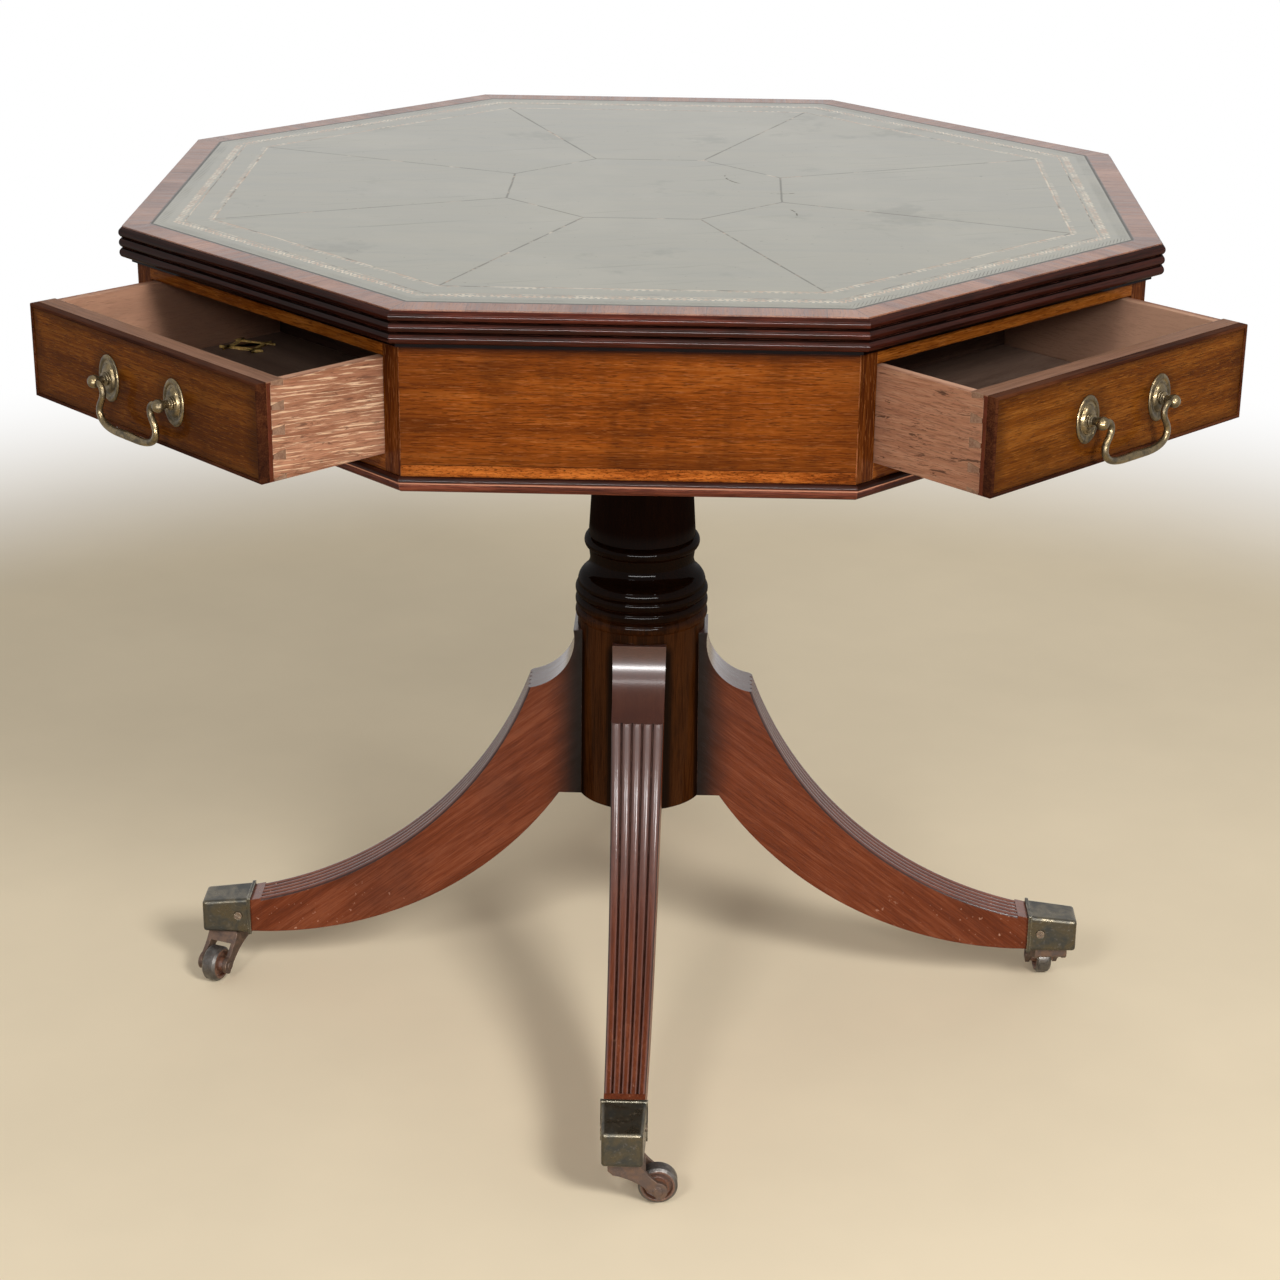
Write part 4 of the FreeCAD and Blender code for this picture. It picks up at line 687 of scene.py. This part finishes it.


# Pedestal: nearly black column, red-brown reeded legs.
# The near-black colour from the rings upward is painted shade under the drum.
columnLook = {
    "tones": shades((0.018, 0.005, 0.001), (0.040, 0.011, 0.002), (0.075, 0.023, 0.005)),
    "dark": (0.010, 0.004, 0.002), "pale": (0.180, 0.065, 0.030), "streak": 0.25, "pores": 0.35, "flecks": 0.05,
    "grime": 0.40, "wear": 0.20, "shine": 0.0, "polish": 0.02, "polishOn": 0.09, "polishRough": 0.05, "rough": 0.32,
    "grainDeep": 0.00006, "edge": 0.0010, "seed": 33.0, "cone": (0.463, 0.452), "rings": (0.372, 0.392),
    "legTop": (0.362, 0.350), "corner": (0.0320, 0.0262), "shadeUnderDrum": (0.005, 0.0018, 0.0008),
}
# The crease colour is painted shade, with dirt along the column joint; the colour beside the column is dirt and painted
# shade; the reed stain is lifted toward grey as painted sheen.
legLook = {
    "tones": shades((0.120, 0.024, 0.007), (0.160, 0.034, 0.010), (0.190, 0.043, 0.014), (0.250, 0.066, 0.025)),
    "dark": (0.050, 0.012, 0.005), "pale": (0.360, 0.170, 0.120), "streak": 0.08, "pores": 0.26, "flecks": 0.05,
    "grime": 0.38, "wear": 0.35, "shine": 0.08, "polish": 0.14, "polishRough": 0.20, "rough": 0.34,
    "grainDeep": 0.00007, "edge": 0.0009, "seed": 36.0, "polishOn": 0.88, "reedStainAndSheen": (0.088, 0.042, 0.034),
    "creaseDirtAndShade": (0.005, 0.002, 0.001), "inner": (0.020, 0.007, 0.004), "chip": (0.55, 0.30, 0.20), "slope": 38,
    "flankAt": (0.975, 0.995), "valleyAt": (0.55, 0.80), "columnAt": 0.058, "creaseDirtAndShadeAt": (0.0700, 0.0540),
    "stainFrom": (0.02, 0.30), "chipsFrom": (0.12, 0.05), "valley": 0.74,
}


def columnGrain(tree, spot):
    x, y, z = parted(tree, spot)
    besideLeg = calc(tree, "MINIMUM", unsigned(tree, plus(tree, x, y)), unsigned(tree, minus(tree, x, y)))
    where = {"Up": z, "Beside": times(tree, besideLeg, diagonal), "Coat": ease(tree, z, *columnLook["cone"])}
    return joined(tree, z, x, y), 0.0, where


# Legs stand on the diagonals: Flank marks their sides, Valley the hollows between reeds.
def legGrain(tree, spot):
    look = legLook
    x, y, up = parted(tree, spot)
    signX, signY = calc(tree, "SIGN", x), calc(tree, "SIGN", y)
    out = times(tree, plus(tree, unsigned(tree, x), unsigned(tree, y)), diagonal)
    along = times(tree, minus(tree, times(tree, y, signX), times(tree, x, signY)), diagonal)
    slope = math.radians(look["slope"])
    run = minus(tree, times(tree, out, math.cos(slope)), times(tree, up, math.sin(slope)))
    rise = plus(tree, times(tree, out, math.sin(slope)), times(tree, up, math.cos(slope)))
    across = joined(tree, times(tree, signY, -diagonal), times(tree, signX, diagonal), 0.0)
    normal = tree.nodes.new("ShaderNodeNewGeometry").outputs["Normal"]
    sideways = unsigned(tree, aim(tree, "DOT_PRODUCT", across, normal))
    flank = ease(tree, sideways, *look["flankAt"])
    valley = times(tree, ease(tree, sideways, *look["valleyAt"]), inverse(tree, flank))
    coat = times(tree, inverse(tree, flank), spread(tree, valley, 1.0, 0.3))
    whichLeg = plus(tree, signX, times(tree, signY, 2.0))
    where = {"Out": out, "Up": up, "Flank": flank, "Valley": valley, "Coat": coat}
    return joined(tree, run, rise, along), whichLeg, where


def paintColumn(tree, color, made):
    where, look = made["where"], columnLook
    # painted shade under the drum: near black from the rings upward
    ragged = spread(tree, cloud(tree, made["spot"], 15.0, 3.0, 0.6), -0.012, 0.012)
    high = ease(tree, plus(tree, where["Up"], ragged), *look["rings"])
    color = tint(tree, color, look["shadeUnderDrum"], high, 0.90)
    # dirt and painted shade in the corners beside the legs
    corner = times(tree, ease(tree, where["Beside"], *look["corner"]), ease(tree, where["Up"], *look["legTop"]))
    return tint(tree, color, legLook["creaseDirtAndShade"], corner, 0.85)


def paintLeg(tree, color, made):
    where, look = made["where"], legLook
    # stain on the reeded face, lifted toward grey as painted sheen; dirt and painted shade on the flanks beside the
    # column
    ragged = spread(tree, cloud(tree, made["spot"], 12.0, 3.0, 0.6), 0.5, 1.5)
    inner = ease(tree, minus(tree, where["Out"], look["columnAt"]), times(tree, ragged, 0.030), 0.002)
    stained = times(tree, inverse(tree, where["Flank"]), ease(tree, where["Up"], *look["stainFrom"]), 0.85)
    color = mixInk(tree, stained, color, look["reedStainAndSheen"])
    color = tint(tree, color, look["inner"], inner, where["Flank"], 0.85)
    # painted shade between the reeds, dirt and painted shade along the joint with the column, chips low down
    creaseDirtAndShade = times(tree, ease(tree, where["Out"], *look["creaseDirtAndShadeAt"]), where["Flank"])
    creaseDirtAndShadeMask = largest(tree, times(tree, where["Valley"], look["valley"]), times(tree, creaseDirtAndShade, 0.9))
    color = mixInk(tree, creaseDirtAndShadeMask, color, look["creaseDirtAndShade"])
    chips = ease(tree, cloud(tree, made["spot"], 230.0, 2.0, 0.6), 0.67, 0.72)
    low = ease(tree, where["Up"], *look["chipsFrom"])
    return tint(tree, color, look["chip"], chips, low, 0.8)


dress(woodFinish("columnWood", columnGrain, columnLook, paintColumn), "column")
dress(woodFinish("reededLegWood", legGrain, legLook, paintLeg), *["leg_" + corner for corner in legCorners])
print("pedestal finished")


# Metal: brass handles, patinated sockets, rusty casters, black iron pivot.
def metalFinish(name, look, hub=None):
    finish, tree, shader, spot = startFinish(name, {"Specular IOR Level": 0.5})
    film = useGroup(tree, tarnish, Spot=spot, Scale=look["scale"])
    edge = useGroup(tree, edgeWear, Spot=spot, Radius=look["edge"], Patch=look["patch"])
    color = mixInk(tree, film["Film"], look["bare"], look["film"])
    color = tint(tree, color, look["crust"], film["Pits"], look["pits"])
    bright = times(tree, edge["Wear"], look["wear"])
    rust = 0.0
    if hub:  # the hollow sides of a wheel rust, its tread is rubbed bare
        hollow = ease(tree, aim(tree, "DISTANCE", spot, hub), *look["hollow"])
        rust = times(tree, hollow, spread(tree, film["Film"], 1.0, 0.55))
        color = mixInk(tree, rust, color, look["rust"])
    color = mixInk(tree, bright, color, look["bright"])
    feed(tree, shader.inputs["Base Color"], color)
    dull = spread(tree, film["Film"], look["rough"] - 0.08, look["rough"] + 0.10)
    dull = plus(tree, dull, times(tree, film["Pits"], 0.15))
    feed(tree, shader.inputs["Roughness"], minus(tree, dull, times(tree, bright, 0.10)))
    metal = minus(tree, spread(tree, film["Film"], *look["metal"]), times(tree, film["Pits"], look["pits"]))
    feed(tree, shader.inputs["Metallic"], calc(tree, "MAXIMUM", minus(tree, metal, rust), 0.0))
    relief(tree, shader, minus(tree, times(tree, film["Film"], 0.4), film["Pits"]), look["relief"], edge["Normal"])
    return finish


handleLook = {
    "bare": (0.200, 0.148, 0.078), "film": (0.060, 0.046, 0.026), "crust": (0.026, 0.020, 0.012),
    "bright": (0.560, 0.480, 0.330), "scale": 120.0, "patch": 90.0, "edge": 0.0008, "pits": 0.45, "wear": 0.7,
    "rough": 0.30, "metal": (1.0, 0.75), "relief": 0.00005,
}
socketLook = {
    "bare": (0.120, 0.100, 0.066), "film": (0.032, 0.032, 0.027), "crust": (0.060, 0.040, 0.022),
    "bright": (0.480, 0.445, 0.340), "scale": 48.0, "patch": 55.0, "edge": 0.0018, "pits": 0.45, "wear": 0.80,
    "rough": 0.33, "metal": (0.85, 0.55), "relief": 0.00007,
}
screwLook = dict(handleLook, bare=(0.210, 0.155, 0.110), film=(0.110, 0.078, 0.056), scale=200.0, edge=0.0004,
                 rough=0.42)
hornLook = {
    "bare": (0.140, 0.084, 0.056), "film": (0.062, 0.035, 0.024), "crust": (0.110, 0.040, 0.018),
    "bright": (0.360, 0.260, 0.185), "scale": 130.0, "patch": 110.0, "edge": 0.0009, "pits": 0.6, "wear": 0.5,
    "rough": 0.50, "metal": (0.7, 0.25), "relief": 0.00010,
}
wheelLook = {
    "bare": (0.150, 0.140, 0.130), "film": (0.050, 0.042, 0.036), "crust": (0.150, 0.055, 0.024),
    "bright": (0.450, 0.420, 0.380), "scale": 140.0, "patch": 120.0, "edge": 0.0010, "pits": 0.5, "wear": 0.7,
    "rough": 0.38, "metal": (0.9, 0.45), "relief": 0.00010, "rust": (0.200, 0.074, 0.034), "hollow": (0.0164, 0.0150),
}
ironLook = dict(wheelLook, bare=(0.110, 0.100, 0.092), rough=0.50)

dress(metalFinish("agedHandleBrass", handleLook), *["handle_mounts_" + side for side in drawerTurns],
      *["handle_bail_" + side for side in drawerTurns])
dress(metalFinish("socketBrass", socketLook), "caster_sockets")
dress(metalFinish("screwBrass", screwLook), "socket_screws")
dress(metalFinish("hornMetal", hornLook), *["caster_horn_" + corner for corner in legCorners])
for legCorner in legCorners:
    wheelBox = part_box("caster_wheel_" + legCorner)
    wheelHub = tuple((low + high) / 2 for low, high in zip(*wheelBox))
    dress(metalFinish("wheelIron_" + legCorner, wheelLook, wheelHub), "caster_wheel_" + legCorner)
dress(metalFinish("pivotIron", ironLook), "pivot_pin", "pivot_collar", "pivot_screws", "bearing_flange",
      "bearing_screws")
print("metal finished")


def meshObject(name, build):
    mesh = bpy.data.meshes.new(name)
    build.to_mesh(mesh)
    build.free()
    item = bpy.data.objects.new(name, mesh)
    scene.collection.objects.link(item)
    return item


# Blank shaped tag lying in the left drawer, brown with a gilt rim; the gilt is lightened as a painted highlight.
tagLook = {
    "centre": (-0.121, -0.336), "turn": 27, "long": 0.040, "wide": 0.036, "notch": 0.007, "thick": 0.0020,
    "rim": 0.0040, "cornerPoints": 7, "lift": 0.00002,
    "skin": (0.150, 0.060, 0.022), "deep": (0.080, 0.030, 0.012), "gilt": (0.90, 0.62, 0.20),
    "giltWorn": (0.22, 0.13, 0.04),
}


def makeTag():
    look = tagLook
    halfLong, halfWide, notch, points = look["long"] / 2, look["wide"] / 2, look["notch"], look["cornerPoints"]
    outline = []
    for quarter, (signX, signY) in enumerate(((1, 1), (-1, 1), (-1, -1), (1, -1))):
        # each corner is scooped in by a quarter round
        for step in range(points) if quarter % 2 == 0 else reversed(range(points)):
            angle = math.pi / 2 * step / (points - 1)
            outline.append((signX * (halfLong - notch * math.sin(math.pi / 2 - angle)),
                            signY * (halfWide - notch * math.sin(angle))))
    thick, rimShare = look["thick"], look["rim"] / look["wide"]
    scales = ((1.0, 0.0), (1.0, thick), (1.0 - 2 * rimShare, thick), (1.0 - 2.6 * rimShare, thick * 0.6))
    build = bmesh.new()
    rings = [[build.verts.new((x * share, y * share, height)) for x, y in outline] for share, height in scales]
    count = len(outline)
    for lower, upper in zip(rings, rings[1:]):
        for index in range(count):
            after = (index + 1) % count
            build.faces.new((lower[index], lower[after], upper[after], upper[index]))
    build.faces.new(rings[-1])
    build.faces.new(list(reversed(rings[0])))
    bmesh.ops.recalc_face_normals(build, faces=build.faces)
    tag = meshObject("drawer_tag", build)
    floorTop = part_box("drawer_bottom_south")[1][2]
    place = Matrix.Translation((*look["centre"], floorTop + look["lift"]))
    tag.data.transform(place @ Matrix.Rotation(math.radians(look["turn"]), 4, "Z"))
    finish, tree, shader, spot = startFinish("brownTag", {"Coat Weight": 0.2, "Coat Roughness": 0.25})
    stain = cloud(tree, spot, 160.0, 4.0, 0.6)
    feed(tree, shader.inputs["Base Color"], ramp(tree, stain, [(0.35, look["deep"]), (0.65, look["skin"])]))
    feed(tree, shader.inputs["Roughness"], spread(tree, stain, 0.4, 0.6))
    relief(tree, shader, stain, 0.00008)
    rim, tree, shader, spot = startFinish("giltRim", {})
    rubbed = cloud(tree, spot, 260.0, 3.0, 0.6)
    feed(tree, shader.inputs["Base Color"], ramp(tree, rubbed, [(0.35, look["giltWorn"]), (0.60, look["gilt"])]))
    feed(tree, shader.inputs["Metallic"], times(tree, ease(tree, rubbed, 0.35, 0.60), 0.4))
    feed(tree, shader.inputs["Roughness"], spread(tree, rubbed, 0.25, 0.45))
    relief(tree, shader, rubbed, 0.00005)
    tag.data.materials.append(finish)
    tag.data.materials.append(rim)
    for face in tag.data.polygons:
        face.material_index = 0 if face.index >= 3 * count else 1  # the rings come first, then the two flat faces
    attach(tag, "drawer_south")


makeTag()
print("drawer tag made")


# Rays that see a thing straight, in a mirror or through glass.
def seenRay(tree):
    path = tree.nodes.new("ShaderNodeLightPath").outputs
    return largest(tree, path["Is Camera Ray"], path["Is Glossy Ray"], path["Is Transmission Ray"])


# Pale floor that fades to white away from the table.
floorLook = {"near": (0.89, 0.757, 0.545), "lighter": 1.06, "fadeFrom": 1.25, "fadeTo": 2.2, "half": 9.0,
             "level": -0.0002}


def makeFloor():
    look = floorLook
    build = bmesh.new()
    bmesh.ops.create_grid(build, x_segments=12, y_segments=12, size=look["half"])
    floor = meshObject("pale_floor", build)
    floor.location.z = look["level"]
    finish, tree, shader, spot = startFinish("paleFloor", {"Specular IOR Level": 0.0})
    wash = cloud(tree, spot, 2.5, 4.0, 0.6)
    light = tuple(min(1.0, channel * look["lighter"]) for channel in look["near"])
    feed(tree, shader.inputs["Base Color"], ramp(tree, wash, [(0.35, look["near"]), (0.65, light)]))
    feed(tree, shader.inputs["Roughness"], spread(tree, wash, 0.55, 0.70))
    glow = tree.nodes.new("ShaderNodeEmission")
    far = ease(tree, aim(tree, "LENGTH", spot), look["fadeFrom"], look["fadeTo"])
    mixer = tree.nodes.new("ShaderNodeMixShader")
    feed(tree, mixer.inputs[0], times(tree, far, seenRay(tree)))
    tree.links.new(shader.outputs[0], mixer.inputs[1])
    tree.links.new(glow.outputs[0], mixer.inputs[2])
    tree.links.new(mixer.outputs[0], tree.nodes["Material Output"].inputs["Surface"])
    floor.data.materials.append(finish)


# Soft room light, soft boxes right and left of the camera, and two long strips that only glint.
# The low strip lies below the top, so that it puts no glare on the leather.
lightLook = {
    "room": 0.43, "aim": (0.0, 0.0, 0.45),
    "boxes": {
        "boxRight": {"at": (1.74, -2.68, 2.50), "size": (0.9, 0.9), "power": 81.0, "glintOnly": False},
        "boxLeft": {"at": (-1.15, -2.98, 2.35), "size": (0.7, 0.7), "power": 26.0, "glintOnly": False},
        "stripHigh": {"at": (0.10, -3.00, 2.30), "size": (3.2, 0.25), "power": 26.0, "glintOnly": True},
        "stripLow": {"at": (0.10, -3.00, 0.58), "size": (3.2, 0.25), "power": 150.0, "glintOnly": True},
    },
}


def makeLight():
    look = lightLook
    world = bpy.data.worlds.new("whiteRoom")
    scene.world = world
    world.use_nodes = True
    tree = world.node_tree
    back = tree.nodes["Background"]
    back.inputs["Color"].default_value = (1.0, 1.0, 1.0, 1.0)
    feed(tree, back.inputs["Strength"], spread(tree, seenRay(tree), look["room"], 1.0))
    for name, box in look["boxes"].items():
        lamp = bpy.data.lights.new(name, "AREA")
        lamp.shape = "RECTANGLE"
        lamp.size, lamp.size_y = box["size"]
        lamp.energy = box["power"]
        holder = bpy.data.objects.new(name, lamp)
        holder.visible_diffuse = not box["glintOnly"]
        holder.location = photoTurn @ Vector(box["at"])
        toward = Vector(look["aim"]) - holder.location
        holder.rotation_euler = toward.to_track_quat("-Z", "Y").to_euler()
        scene.collection.objects.link(holder)


# Camera found from the corners of the top and the feet in the photograph.
cameraLook = {
    "yaw": -1.591, "pitch": 21.557, "roll": 0.592, "place": (0.0649, -2.375, 1.283), "lens": 78.655, "sensor": 36.0,
}


def makeCamera():
    look = cameraLook
    yaw, pitch, roll = (math.radians(look[key]) for key in ("yaw", "pitch", "roll"))
    ahead = Vector((math.sin(yaw) * math.cos(pitch), math.cos(yaw) * math.cos(pitch), -math.sin(pitch)))
    right = Vector((math.cos(yaw), -math.sin(yaw), 0.0))
    over = right.cross(ahead)
    across = right * math.cos(roll) + over * math.sin(roll)
    upward = over * math.cos(roll) - right * math.sin(roll)
    pose = Matrix((across, upward, -ahead)).transposed().to_4x4()
    pose.translation = Vector(look["place"])
    camera = bpy.data.cameras.new("photoCamera")
    camera.sensor_width = look["sensor"]
    camera.lens = look["lens"]
    holder = bpy.data.objects.new("photoCamera", camera)
    holder.matrix_world = photoTurn @ pose
    scene.collection.objects.link(holder)
    scene.camera = holder


makeFloor()
makeLight()
makeCamera()
print("floor, light and camera set")
